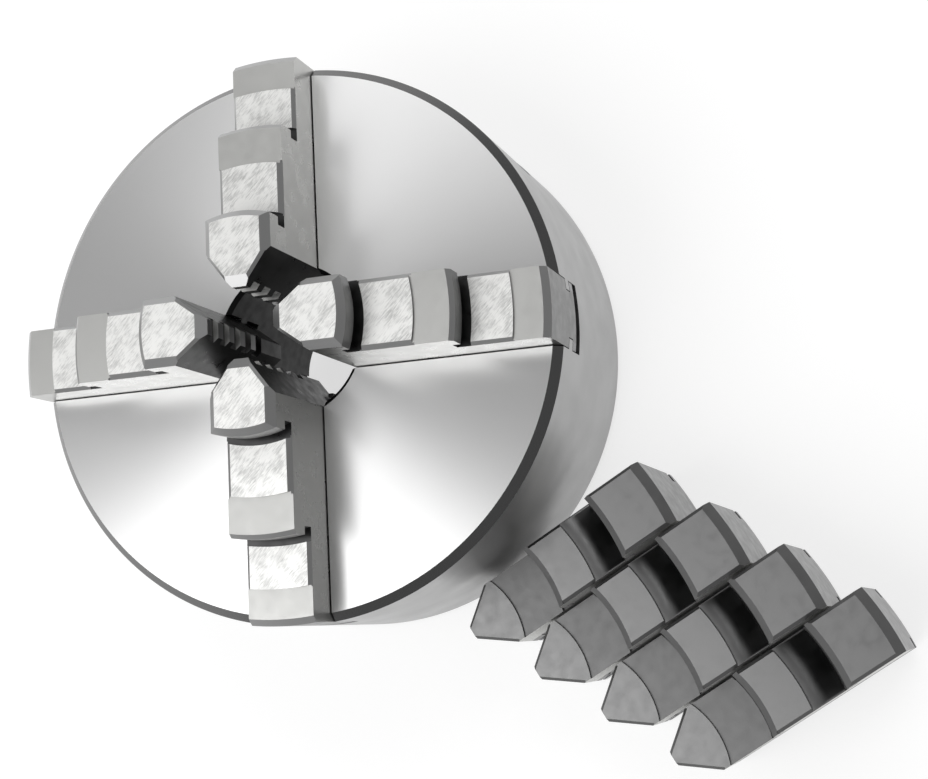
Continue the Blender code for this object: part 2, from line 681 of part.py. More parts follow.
def end_chamfer_cutter(name, level, tools):
    """The chamfer between a step's level and the jaw's rounded outer end."""
    half = JAW_WIDTH / 2 + OVERSHOOT
    far = JAW_LENGTH + OVERSHOOT
    outline = wall_arc(JAW_LENGTH, JAW_REST_RADIUS, half) + [(far, half), (far, -half)]
    bm = bmesh.new()
    add_prism(bm, outline, level - JAW_END_CHAMFER, level + SINK)
    for vert in bm.verts:
        if vert.co.z > mm(level) and vert.co.x < mm(JAW_LENGTH + SINK):
            vert.co.x -= mm(JAW_END_CHAMFER + SINK)
    return new_object(name, finish_mesh(bm, name), tools)


def tip_bevel_cutter(name, tools):
    """The bevel between a fitted jaw's top and its tip."""
    half = JAW_WIDTH / 2 + OVERSHOOT
    slope = TIP_BEVEL_DROP / TIP_BEVEL_LENGTH
    bm = bmesh.new()
    add_box(bm, (-OVERSHOOT, -half, jaw_top()), (TIP_BEVEL_LENGTH, half, jaw_top() + OVERSHOOT))
    for vert in bm.verts:
        if vert.co.z < mm(jaw_top() + SINK):
            vert.co.z -= (mm(TIP_BEVEL_LENGTH) - vert.co.x) * slope
    return new_object(name, finish_mesh(bm, name), tools)


def tip_groove_cutter(name, tools):
    """The serrations across a tip, one below another."""
    half = JAW_WIDTH / 2 + OVERSHOOT
    bm = bmesh.new()
    for index in range(TIP_GROOVE_COUNT):
        top = jaw_top() - TIP_GROOVE_START - index * TIP_GROOVE_PITCH
        add_box(bm, (-OVERSHOOT, -half, top - TIP_GROOVE_HEIGHT), (TIP_GROOVE_DEPTH, half, top))
    return new_object(name, finish_mesh(bm, name), tools)


def guide_cutter(name, tools):
    """The guide grooves along both flanks."""
    top = JAW_FACE_HEIGHT - GUIDE_TOP
    half = JAW_WIDTH / 2
    bm = bmesh.new()
    for side in (-1, 1):
        edges = sorted((side * (half - GUIDE_DEPTH), side * (half + OVERSHOOT)))
        add_box(bm, (-OVERSHOOT, edges[0], top - GUIDE_HEIGHT),
                (JAW_LENGTH + OVERSHOOT, edges[1], top))
    return new_object(name, finish_mesh(bm, name), tools)


def jaw_teeth(name, azimuth, tools):
    """The teeth that run in the scroll. Their outer sides curve with its smallest turn."""
    half = TOOTH_SPAN / 2
    first = THREAD_START + SCROLL_PITCH * (azimuth / math.tau + 0.5) - JAW_REST_RADIUS
    middle = TOOTH_END_MARGIN + (first - TOOTH_END_MARGIN) % SCROLL_PITCH
    bm = bmesh.new()
    while middle < JAW_LENGTH - TOOTH_END_MARGIN:
        back = middle - TOOTH_WIDTH / 2
        front = [
            (middle + TOOTH_WIDTH / 2 - y * y / (2 * THREAD_START), y)
            for y in [half * (1.0 - 2.0 * step / ARC_STEPS) for step in range(ARC_STEPS + 1)]
        ]
        add_prism(bm, [(back, -half), *reversed(front), (back, half)], 0.0, TOOTH_HEIGHT + SINK)
        middle += SCROLL_PITCH
    return new_object(name, finish_mesh(bm, name), tools)


def jaw_top():
    """Height of a jaw's highest step above the tips of its teeth."""
    return JAW_FACE_HEIGHT + LOW_STEP + 2 * STEP_RISE


def make_jaw(name, azimuth, treads, rises_outward, parts, tools, steel):
    """A stepped jaw with cheeks, undercut steps, guide grooves and scroll teeth.

    The steps of a fitted jaw rise inward, and its tip is bevelled and serrated.
    """
    bm = bmesh.new()
    add_prism(bm, jaw_outline(), TOOTH_HEIGHT, jaw_top())
    jaw = new_object(name, finish_mesh(bm, name), parts, steel)
    first_wall = treads[0]
    second_wall = treads[0] + treads[1]
    low_level = JAW_FACE_HEIGHT + LOW_STEP
    middle_level = low_level + STEP_RISE
    walls = [(first_wall, middle_level), (second_wall, low_level)]
    if rises_outward:
        walls = [(first_wall, low_level), (second_wall, middle_level)]
    for index, (distance, level) in enumerate(walls):
        label = f"{name}_step_{index + 1}"
        use_tool(jaw, step_cutter(label, distance, level, rises_outward, tools), "DIFFERENCE")
        groove = undercut_cutter(f"{name}_undercut_{index + 1}", distance, level, rises_outward,
                                 tools)
        use_tool(jaw, groove, "DIFFERENCE")
    end_level = jaw_top() if rises_outward else low_level
    use_tool(jaw, end_chamfer_cutter(f"{name}_end", end_level, tools), "DIFFERENCE")
    if not rises_outward:
        use_tool(jaw, tip_bevel_cutter(f"{name}_tip_bevel", tools), "DIFFERENCE")
        use_tool(jaw, tip_groove_cutter(f"{name}_tip_grooves", tools), "DIFFERENCE")
    use_tool(jaw, guide_cutter(f"{name}_guides", tools), "DIFFERENCE")
    use_tool(jaw, jaw_teeth(f"{name}_teeth", azimuth, tools), "UNION")
    return jaw


def move_with_tools(jaw, place):
    """Place a jaw and the tools that shape it together."""
    jaw.matrix_world = place
    for modifier in jaw.modifiers:
        modifier.object.matrix_world = place


def place_fitted_jaw(jaw, azimuth):
    """Stand a jaw in its slot, its teeth in the scroll."""
    turn = Matrix.Rotation(azimuth, 4, "Z")
    move_with_tools(jaw, turn @ Matrix.Translation((mm(JAW_REST_RADIUS), 0.0, mm(TOOTH_TIP_Z))))


def place_spare_jaw(jaw, index):
    """Stand a spare jaw on its teeth in a staggered row beside the chuck."""
    angle = math.radians(SPARE_ANGLE)
    along = Vector((math.cos(angle), math.sin(angle), 0.0))
    across = Vector((math.sin(angle), -math.cos(angle), 0.0))
    first = BODY_RADIUS + SPARE_CLEARANCE + JAW_WIDTH / 2
    tip = across * (first + index * (JAW_WIDTH + SPARE_GAP))
    tip += along * (SPARE_TIP_SHIFT + index * SPARE_STAGGER)
    place = Matrix.Translation((mm(tip.x), mm(tip.y), 0.0)) @ Matrix.Rotation(angle, 4, "Z")
    move_with_tools(jaw, place)


def main():
    """Build every piece of the chuck and its spare jaws."""
    clear_scene()
    parts = make_collection("lathe_chuck")
    tools = make_collection("cutters", is_tool=True)
    body_steel = make_material("turned_body_steel", (0.62, 0.62, 0.62), 0.32)
    jaw_steel = make_material("ground_jaw_steel", (0.68, 0.68, 0.67), 0.26)
    spare_steel = make_material("hardened_jaw_steel", (0.55, 0.55, 0.55), 0.4)
    scroll_steel = make_material("oiled_scroll_steel", (0.35, 0.35, 0.36), 0.35)
    screw_steel = make_material("black_oxide_screw", (0.08, 0.08, 0.085), 0.45)
    make_body(parts, tools, body_steel)
    make_cover(parts, tools, body_steel)
    make_scroll_plate(parts, tools, scroll_steel)
    for index, azimuth in enumerate(around(PINION_COUNT, PINION_AZIMUTH)):
        make_pinion(index + 1, azimuth, parts, tools, scroll_steel)
        make_pinion_screw(index + 1, azimuth, parts, tools, screw_steel)
    for index, azimuth in enumerate(around(COVER_SCREW_COUNT, COVER_SCREW_PHASE)):
        make_cover_screw(index + 1, azimuth, parts, tools, screw_steel)
    for index, azimuth in enumerate(around(JAW_COUNT, JAW_PHASE)):
        jaw = make_jaw(f"jaw_{index + 1}", azimuth, INSIDE_TREADS, False, parts, tools, jaw_steel)
        place_fitted_jaw(jaw, azimuth)
        spare = make_jaw(f"outside_jaw_{index + 1}", azimuth, OUTSIDE_TREADS, True, parts, tools,
                         spare_steel)
        place_spare_jaw(spare, index)


if __name__ == "__main__":
    main()
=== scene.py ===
"""Looks of a four-jaw self-centring lathe chuck and its four spare outside jaws."""
import json
import logging
import math
from dataclasses import dataclass
from enum import Enum, IntEnum

import bmesh
import bpy
from mathutils import Matrix, Vector

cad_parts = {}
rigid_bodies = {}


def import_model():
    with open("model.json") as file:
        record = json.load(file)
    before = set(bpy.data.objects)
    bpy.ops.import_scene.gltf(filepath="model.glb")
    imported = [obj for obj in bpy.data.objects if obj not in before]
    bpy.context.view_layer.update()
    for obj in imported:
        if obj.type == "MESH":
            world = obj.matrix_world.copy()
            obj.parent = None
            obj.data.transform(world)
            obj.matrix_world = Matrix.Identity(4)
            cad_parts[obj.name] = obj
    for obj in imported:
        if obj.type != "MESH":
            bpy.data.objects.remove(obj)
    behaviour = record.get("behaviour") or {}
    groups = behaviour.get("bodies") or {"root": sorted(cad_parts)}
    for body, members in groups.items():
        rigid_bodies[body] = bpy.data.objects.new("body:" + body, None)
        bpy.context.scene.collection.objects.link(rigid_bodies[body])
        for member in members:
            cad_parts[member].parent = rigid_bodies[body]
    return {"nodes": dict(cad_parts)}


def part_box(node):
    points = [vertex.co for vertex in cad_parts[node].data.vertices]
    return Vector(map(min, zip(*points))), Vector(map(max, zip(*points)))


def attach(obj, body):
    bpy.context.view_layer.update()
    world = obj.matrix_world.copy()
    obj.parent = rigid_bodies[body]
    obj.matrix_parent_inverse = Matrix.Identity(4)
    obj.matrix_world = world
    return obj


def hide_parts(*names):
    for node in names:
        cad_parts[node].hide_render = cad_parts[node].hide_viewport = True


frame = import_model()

LOG = logging.getLogger("lathe_chuck")
MM = 0.001
MERGE_DISTANCE = 0.000002  # metres; points nearer than this are one point
OVERSHOOT = 5.0  # millimetres that a cutter runs past what it cuts
PROUD = 1.0  # millimetres that a chamfer's cutter stands over the edge it takes off
GRAIN_SIZE = 0.5  # millimetres; finer in real steel, drawn as coarse as it needs to show
GRAIN_DEPTH = 0.004
HOLE_FACETS = 32
BEVEL_SEGMENTS = 2
SHARP_ANGLE = 30.0  # degrees; faces that meet at more than this make an edge
JAW_COUNT = 4
FIRST_JAW_AZIMUTH = -45.0  # degrees about the chuck's axis
SPARE_HEADING = -15.0  # degrees; the way the row of spare jaws points
Outline = list[tuple[float, float]]


# ---------------------------------------------------------------- shared helpers
class ToolUse(Enum):
    """What a tool shape does to the piece it meets."""

    CUT_AWAY = "DIFFERENCE"
    JOIN_ON = "UNION"


def srgb(code: str) -> tuple[float, float, float, float]:
    """Turn an sRGB hex value into a linear colour.

    Args:
        code: six hex digits.

    Returns:
        Linear red, green and blue, and an alpha of 1.
    """
    channels = []
    for start in (0, 2, 4):
        value = int(code[start:start + 2], 16) / 255.0
        channels.append(value / 12.92 if value <= 0.04045 else ((value + 0.055) / 1.055) ** 2.4)
    return (channels[0], channels[1], channels[2], 1.0)


def add_node(tree: bpy.types.NodeTree, kind: str, settings: dict | None = None,
             links: dict | None = None) -> bpy.types.Node:
    """Add a shader node with its settings and the links into it.

    Args:
        tree: the node tree.
        kind: the node's type name.
        settings: attribute names, or input names and indices, with their values.
        links: input names or indices with the output socket that feeds each.

    Returns:
        The new node.
    """
    node = tree.nodes.new(kind)
    for key, value in (settings or {}).items():
        if isinstance(key, str) and hasattr(node, key):
            setattr(node, key, value)
        else:
            node.inputs[key].default_value = value
    for key, socket in (links or {}).items():
        tree.links.new(socket, node.inputs[key])
    return node


def polar(radius: float, azimuth: float, height: float = 0.0) -> Vector:
    """A point from its radius, azimuth in radians and height, all lengths in one unit."""
    return Vector((radius * math.cos(azimuth), radius * math.sin(azimuth), height))


def new_object(name: str, bm: bmesh.types.BMesh) -> bpy.types.Object:
    """Make an object of a bmesh at the origin, with outward faces.

    Args:
        name: the object's name.
        bm: its shape, in metres; it is freed.

    Returns:
        The linked object.
    """
    bmesh.ops.remove_doubles(bm, verts=bm.verts, dist=MERGE_DISTANCE)
    bmesh.ops.recalc_face_normals(bm, faces=bm.faces)
    mesh = bpy.data.meshes.new(name)
    bm.to_mesh(mesh)
    bm.free()
    item = bpy.data.objects.new(name, mesh)
    bpy.context.scene.collection.objects.link(item)
    return item


def add_prism(bm: bmesh.types.BMesh, outline: Outline, low: float,
              high: float) -> list[bmesh.types.BMVert]:
    """Extrude an outline of (x, y) millimetres upwards between two heights.

    Args:
        bm: the bmesh to add to.
        outline: the section's points in order.
        low: height of the section.
        high: height that it is extruded to.

    Returns:
        The prism's corners.
    """
    base = [bm.verts.new((x * MM, y * MM, low * MM)) for x, y in outline]
    made = bmesh.ops.extrude_face_region(bm, geom=[bm.faces.new(base)])
    lifted = [item for item in made["geom"] if isinstance(item, bmesh.types.BMVert)]
    bmesh.ops.translate(bm, verts=lifted, vec=(0.0, 0.0, (high - low) * MM))
    return base + lifted


def add_box(bm: bmesh.types.BMesh, low: tuple, high: tuple) -> list[bmesh.types.BMVert]:
    """Add a box between two corners in millimetres.

    Args:
        bm: the bmesh to add to.
        low: its least x, y and z.
        high: its greatest x, y and z.

    Returns:
        Its corners.
    """
    size = Vector(high) - Vector(low)
    middle = (Vector(high) + Vector(low)) / 2 * MM
    place = Matrix.Translation(middle) @ Matrix.Diagonal((*(size * MM), 1.0))
    return bmesh.ops.create_cube(bm, size=1.0, matrix=place)["verts"]


def add_turned(bm: bmesh.types.BMesh, profile: Outline, steps: int, closed: bool = True) -> None:
    """Spin a profile of (radius, height) millimetres about Z into a turned shape.

    Args:
        bm: the bmesh to add to.
        profile: the section's points in order.
        steps: facets in the full turn.
        closed: whether the last point joins the first, as in a ring.
    """
    verts = [bm.verts.new((radius * MM, 0.0, height * MM)) for radius, height in profile]
    pairs = list(zip(verts, verts[1:]))
    if closed:
        pairs.append((verts[-1], verts[0]))
    edges = [bm.edges.new(pair) for pair in pairs]
    bmesh.ops.spin(bm, geom=verts + edges, cent=(0, 0, 0), axis=(0, 0, 1), angle=math.tau,
                   steps=steps, use_merge=True)
    bmesh.ops.remove_doubles(bm, verts=bm.verts, dist=MERGE_DISTANCE)


def apply_modifiers(item: bpy.types.Object) -> None:
    """Replace an object's mesh by what its modifiers make of it.

    Args:
        item: the object, which is left without modifiers.
    """
    bpy.context.view_layer.update()
    shaped = item.evaluated_get(bpy.context.evaluated_depsgraph_get())
    mesh = bpy.data.meshes.new_from_object(shaped)
    item.modifiers.clear()
    item.data = mesh


def combine(item: bpy.types.Object, bm: bmesh.types.BMesh, use: ToolUse) -> None:
    """Cut a shape from an object, or join it on, and drop the tool.

    Args:
        item: the object to change.
        bm: the tool's shape, in metres; it is freed.
        use: whether the tool cuts away or joins on.
    """
    tool = new_object("tool", bm)
    modifier = item.modifiers.new("Boolean", "BOOLEAN")
    modifier.operation = use.value
    modifier.solver = "EXACT"
    modifier.object = tool
    apply_modifiers(item)
    bpy.data.objects.remove(tool)


def soften(item: bpy.types.Object, width: float) -> None:
    """Round an object's sharp edges by a width in millimetres and shade it smooth.

    Args:
        item: the object.
        width: the bevel's width.
    """
    bevel = item.modifiers.new("Bevel", "BEVEL")
    bevel.width = width * MM
    bevel.segments = BEVEL_SEGMENTS
    bevel.limit_method = "ANGLE"
    bevel.angle_limit = math.radians(SHARP_ANGLE)
    bevel.harden_normals = True
    bevel.use_clamp_overlap = True
    item.data.shade_smooth()
    apply_modifiers(item)


def place(item: bpy.types.Object, matrix: Matrix) -> None:
    """Move a mesh, and not its object, by a matrix."""
    item.data.transform(matrix)
    item.data.update()


@dataclass(frozen=True)
class HoleRing:
    """Equal upright holes spread evenly round a circle, in millimetres and degrees."""

    circle: float
    phase: float
    count: int
    radius: float
    low: float
    high: float

    def add_to(self, bm: bmesh.types.BMesh) -> None:
        """Add a plug for each hole to a cutter.

        Args:
            bm: the cutter's bmesh.
        """
        for index in range(self.count):
            azimuth = math.radians(self.phase + 360.0 * index / self.count)
            spot = polar(self.circle * MM, azimuth, (self.low + self.high) / 2 * MM)
            bmesh.ops.create_cone(bm, cap_ends=True, segments=HOLE_FACETS,
                                  radius1=self.radius * MM, radius2=self.radius * MM,
                                  depth=(self.high - self.low) * MM,
                                  matrix=Matrix.Translation(spot))


# ---------------------------------------------------------------- finishes
@dataclass(frozen=True)
class SteelFinish:
    """A bare steel surface, told apart by how it was machined.

    Steel reflects nearly as a grey mirror; the machining marks set how wide its highlights are.
    The pitch and depth of the marks and the size of the mottling are in millimetres.
    """

    name: str
    colour: str
    roughness: float
    marks_pitch: float = 0.0
    marks_depth: float = 0.0
    mottling: float = 0.0
    mottling_size: float = 3.0
    anisotropic: float = 0.0
    metallic: float = 1.0

    def build(self) -> bpy.types.Material:
        """Make the material, with a coordinate output shared by every layer.

        Returns:
            The finished material.
        """
        material = bpy.data.materials.new(self.name)
        material.use_nodes = True
        tree = material.node_tree
        shader = tree.nodes["Principled BSDF"]
        shader.inputs["Metallic"].default_value = self.metallic
        shader.inputs["Base Color"].default_value = srgb(self.colour)
        shader.inputs["Roughness"].default_value = self.roughness
        shader.inputs["Anisotropic"].default_value = self.anisotropic
        shader.inputs["Anisotropic Rotation"].default_value = 0.25
        where = add_node(tree, "ShaderNodeTexCoord").outputs["Object"]
        self.add_marks(tree, shader, where)
        if self.mottling > 0.0:
            self.add_mottling(tree, shader, where)
        return material

    def add_marks(self, tree: bpy.types.NodeTree, shader: bpy.types.Node,
                  where: bpy.types.NodeSocket) -> None:
        """Add the machining marks; plain steel has a fine grain only.

        Args:
            tree: the material's node tree.
            shader: its surface shader.
            where: object coordinates.
        """
        grain = add_node(tree, "ShaderNodeTexNoise",
                         {"Scale": 1.0 / (GRAIN_SIZE * MM), "Detail": 3.0}, {"Vector": where})
        bump = add_node(tree, "ShaderNodeBump",
                        {"Strength": 0.15, "Distance": GRAIN_DEPTH * MM},
                        {"Height": grain.outputs["Fac"]})
        tree.links.new(bump.outputs["Normal"], shader.inputs["Normal"])

    def add_mottling(self, tree: bpy.types.NodeTree, shader: bpy.types.Node,
                     where: bpy.types.NodeSocket) -> None:
        """Vary the roughness in soft patches, as handled steel does.

        Args:
            tree: the material's node tree.
            shader: its surface shader.
            where: object coordinates.
        """
        cloud = add_node(tree, "ShaderNodeTexNoise",
                         {"Scale": 1.0 / (self.mottling_size * MM), "Detail": 4.0},
                         {"Vector": where})
        spread = add_node(tree, "ShaderNodeMapRange",
                          {"From Min": 0.3, "From Max": 0.7,
                           "To Min": max(self.roughness - self.mottling, 0.05),
                           "To Max": self.roughness + self.mottling},
                          {"Value": cloud.outputs["Fac"]})
        tree.links.new(spread.outputs["Result"], shader.inputs["Roughness"])


@dataclass(frozen=True)
class TurnedFinish(SteelFinish):
    """Steel faced on a lathe: rings about the chuck's axis that spread light into wedges."""

    def add_marks(self, tree: bpy.types.NodeTree, shader: bpy.types.Node,
                  where: bpy.types.NodeSocket) -> None:
        """Add concentric tool marks and point the highlights across them.

        A wave texture repeats every tau / 20 of its own units, which the scale brings to the
        marks' pitch.

        Args:
            tree: the material's node tree.
            shader: its surface shader.
            where: object coordinates.
        """
        rings = add_node(tree, "ShaderNodeTexWave",
                         {"wave_type": "RINGS", "rings_direction": "Z", "wave_profile": "SIN",
                          "Scale": math.tau / (20.0 * self.marks_pitch * MM),
                          "Distortion": 0.4, "Detail": 2.0, "Detail Scale": 3.0},
                         {"Vector": where})
        bump = add_node(tree, "ShaderNodeBump",
                        {"Strength": 0.35, "Distance": self.marks_depth * MM},
                        {"Height": rings.outputs["Fac"]})
        tree.links.new(bump.outputs["Normal"], shader.inputs["Normal"])
        tangent = add_node(tree, "ShaderNodeTangent", {"direction_type": "RADIAL", "axis": "Z"})
        tree.links.new(tangent.outputs["Tangent"], shader.inputs["Tangent"])


@dataclass(frozen=True)
class LappedFinish(SteelFinish):
    """Steel rubbed on a lap by hand: bright, with short crossed scratches and dull patches."""

    scratch_turns: tuple[float, float] = (0.9, -0.5)
    scratch_stretches: tuple[float, float] = (10.0, 5.0)
    patch_size: float = 4.5

    def add_marks(self, tree: bpy.types.NodeTree, shader: bpy.types.Node,
                  where: bpy.types.NodeSocket) -> None:
        """Add two crossed sets of scratches, and worn patches in the tone.

        Args:
            tree: the material's node tree.
            shader: its surface shader.
            where: object coordinates.
        """
        heights = []
        for turn, stretch in zip(self.scratch_turns, self.scratch_stretches):
            turned = add_node(tree, "ShaderNodeMapping",
                              {"Rotation": (0.0, 0.0, turn), "Scale": (1.0, stretch, 1.0)},
                              {"Vector": where})
            streak = add_node(tree, "ShaderNodeTexNoise",
                              {"Scale": 1.0 / (self.marks_pitch * MM), "Detail": 5.0,
                               "Roughness": 0.6}, {"Vector": turned.outputs["Vector"]})
            heights.append(streak.outputs["Fac"])
        both = add_node(tree, "ShaderNodeMath", {"operation": "ADD"},
                        {0: heights[0], 1: heights[1]})
        bump = add_node(tree, "ShaderNodeBump",
                        {"Strength": 0.6, "Distance": self.marks_depth * MM},
                        {"Height": both.outputs[0]})
        tree.links.new(bump.outputs["Normal"], shader.inputs["Normal"])
        worn = add_node(tree, "ShaderNodeTexNoise",
                        {"Scale": 1.0 / (self.patch_size * MM), "Detail": 3.0},
                        {"Vector": where})
        blotch = add_node(tree, "ShaderNodeMath", {"operation": "ADD"},
                          {0: both.outputs[0], 1: worn.outputs["Fac"]})
        tone = add_node(tree, "ShaderNodeMapRange",
                        {"From Min": 1.2, "From Max": 1.6, "To Min": 0.6, "To Max": 1.0},
                        {"Value": blotch.outputs[0]})
        tint = add_node(tree, "ShaderNodeMix",
                        {"data_type": "RGBA", "blend_type": "MULTIPLY", "Factor": 1.0,
                         6: srgb(self.colour)}, {7: tone.outputs["Result"]})
        tree.links.new(tint.outputs[2], shader.inputs["Base Color"])


@dataclass(frozen=True)
class StippledFinish(SteelFinish):
    """Shot-blasted hardened steel: a fine even sparkle, with a duller ruled band low down."""

    band_low: float = 10.5
    band_high: float = 16.0
    band_colour: str = "8C8C8C"

    def add_marks(self, tree: bpy.types.NodeTree, shader: bpy.types.Node,
                  where: bpy.types.NodeSocket) -> None:
        """Add the blasted grain and the darker band above the guide groove.

        Args:
            tree: the material's node tree.
            shader: its surface shader.
            where: object coordinates.
        """
        grain = add_node(tree, "ShaderNodeTexNoise",
                         {"Scale": 1.0 / (self.marks_pitch * MM), "Detail": 2.0},
                         {"Vector": where})
        bump = add_node(tree, "ShaderNodeBump",
                        {"Strength": 0.7, "Distance": self.marks_depth * MM},
                        {"Height": grain.outputs["Fac"]})
        tree.links.new(bump.outputs["Normal"], shader.inputs["Normal"])
        height = add_node(tree, "ShaderNodeSeparateXYZ", None, {"Vector": where}).outputs["Z"]
        above = add_node(tree, "ShaderNodeMath",
                         {"operation": "GREATER_THAN", 1: self.band_low * MM}, {0: height})
        below = add_node(tree, "ShaderNodeMath",
                         {"operation": "LESS_THAN", 1: self.band_high * MM}, {0: height})
        band = add_node(tree, "ShaderNodeMath", {"operation": "MULTIPLY"},
                        {0: above.outputs[0], 1: below.outputs[0]})
        speck = add_node(tree, "ShaderNodeMapRange",
                         {"From Min": 0.35, "From Max": 0.65, "To Min": 0.78, "To Max": 1.0},
                         {"Value": grain.outputs["Fac"]})
        base = add_node(tree, "ShaderNodeMix",
                        {"data_type": "RGBA", 6: srgb(self.colour), 7: srgb(self.band_colour)},
                        {"Factor": band.outputs[0]})
        tint = add_node(tree, "ShaderNodeMix",
                        {"data_type": "RGBA", "blend_type": "MULTIPLY", "Factor": 1.0},
                        {6: base.outputs[2], 7: speck.outputs["Result"]})
        tree.links.new(tint.outputs[2], shader.inputs["Base Color"])


@dataclass(frozen=True)
class Finishes:
    """Every finish on the chuck, made once and shared."""

    turned_face: bpy.types.Material
    turned_side: bpy.types.Material
    polished_chamfer: bpy.types.Material
    milled_slot: bpy.types.Material
    bored_hole: bpy.types.Material
    oiled_cheek: bpy.types.Material
    ground_flank: bpy.types.Material
    lapped_pad: bpy.types.Material
    honed_land: bpy.types.Material
    milled_wall: bpy.types.Material
    ground_chamfer: bpy.types.Material
    blasted_flank: bpy.types.Material
    tempered_top: bpy.types.Material
    tempered_land: bpy.types.Material
    oiled_steel: bpy.types.Material
    black_oxide: bpy.types.Material
    etched_mark: bpy.types.Material

    @classmethod
    def build(cls) -> "Finishes":
        """Make all the materials.

        Returns:
            The full set.
        """
        return cls(
            # Fine rings throw the lights into bright and dark wedges that meet in the middle.
            turned_face=TurnedFinish("finely turned steel face", "D8D8D8", 0.34, 0.55, 0.006,
                                     anisotropic=0.75).build(),
            # The side was turned finer still, and shows one soft band of light.
            turned_side=TurnedFinish("smooth turned steel side", "A2A2A2", 0.36, 0.4, 0.003,
                                     mottling=0.05, mottling_size=12.0).build(),
            # Painted shade: the rim's chamfer is coloured darker than the face, standing for how
            # it leans away from the lights, so that it reads as a dark line.
            polished_chamfer=SteelFinish("steel chamfer painted dark as shade", "6A6A6A", 0.22).build(),
            # Slots, holes and cheeks keep their oil, which makes them darker and duller.
            # Slots are darker and duller than the face. The bore, the pinions in their holes and
            # the fitted jaws' cheeks and undercuts are painted darker still, as painted shade in
            # these deep hollows.
            milled_slot=SteelFinish("milled steel slot", "6E6E6E", 0.4, mottling=0.08).build(),
            bored_hole=SteelFinish("bored steel painted dark as shade", "303030", 0.42, mottling=0.08).build(),
            oiled_cheek=SteelFinish("steel cheek painted dark as shade", "484848", 0.34,
                                    mottling=0.08).build(),
            # The fitted jaws: satin flanks, bright lapped pads and duller honed lands.
            ground_flank=SteelFinish("ground steel flank", "B8B8B6", 0.3, mottling=0.06,
                                     mottling_size=5.0).build(),
            lapped_pad=LappedFinish("lapped steel pad", "EAEAE8", 0.4, 2.2, 0.02,
                                    metallic=0.55).build(),
            honed_land=SteelFinish("honed steel land", "B6B6B4", 0.42, mottling=0.04,
                                   metallic=0.85).build(),
            milled_wall=SteelFinish("milled steel wall", "767676", 0.35, mottling=0.06).build(),
            ground_chamfer=SteelFinish("ground steel chamfer", "A8A8A8", 0.3).build(),
            # The spare jaws: sparkling blasted flanks under darker tempered tops.
            blasted_flank=StippledFinish("blasted hardened steel", "D6D6D4", 0.45, 0.5,
                                         0.03).build(),
            tempered_top=SteelFinish("tempered ground steel", "7E7E7E", 0.4,
                                     mottling=0.07).build(),
            tempered_land=SteelFinish("tempered steel land", "6C6C6C", 0.42,
                                      mottling=0.06).build(),
            # Teeth, guides and the inner works are plain machined steel under a film of oil.
            oiled_steel=SteelFinish("oiled machined steel", "7C7C7E", 0.32, mottling=0.1).build(),
            # Screws are blacked, and the numerals are etched: both swallow nearly all light.
            black_oxide=SteelFinish("black oxide steel", "2E2E30", 0.42, mottling=0.06).build(),
            etched_mark=SteelFinish("black etched mark", "141414", 0.6).build(),
        )


# ---------------------------------------------------------------- chuck body
class BodySurface(IntEnum):
    """The body's surfaces by how they were cut, in the order of its materials."""

    FACE = 0
    SIDE = 1
    CHAMFER = 2
    SLOT = 3
    BORE = 4


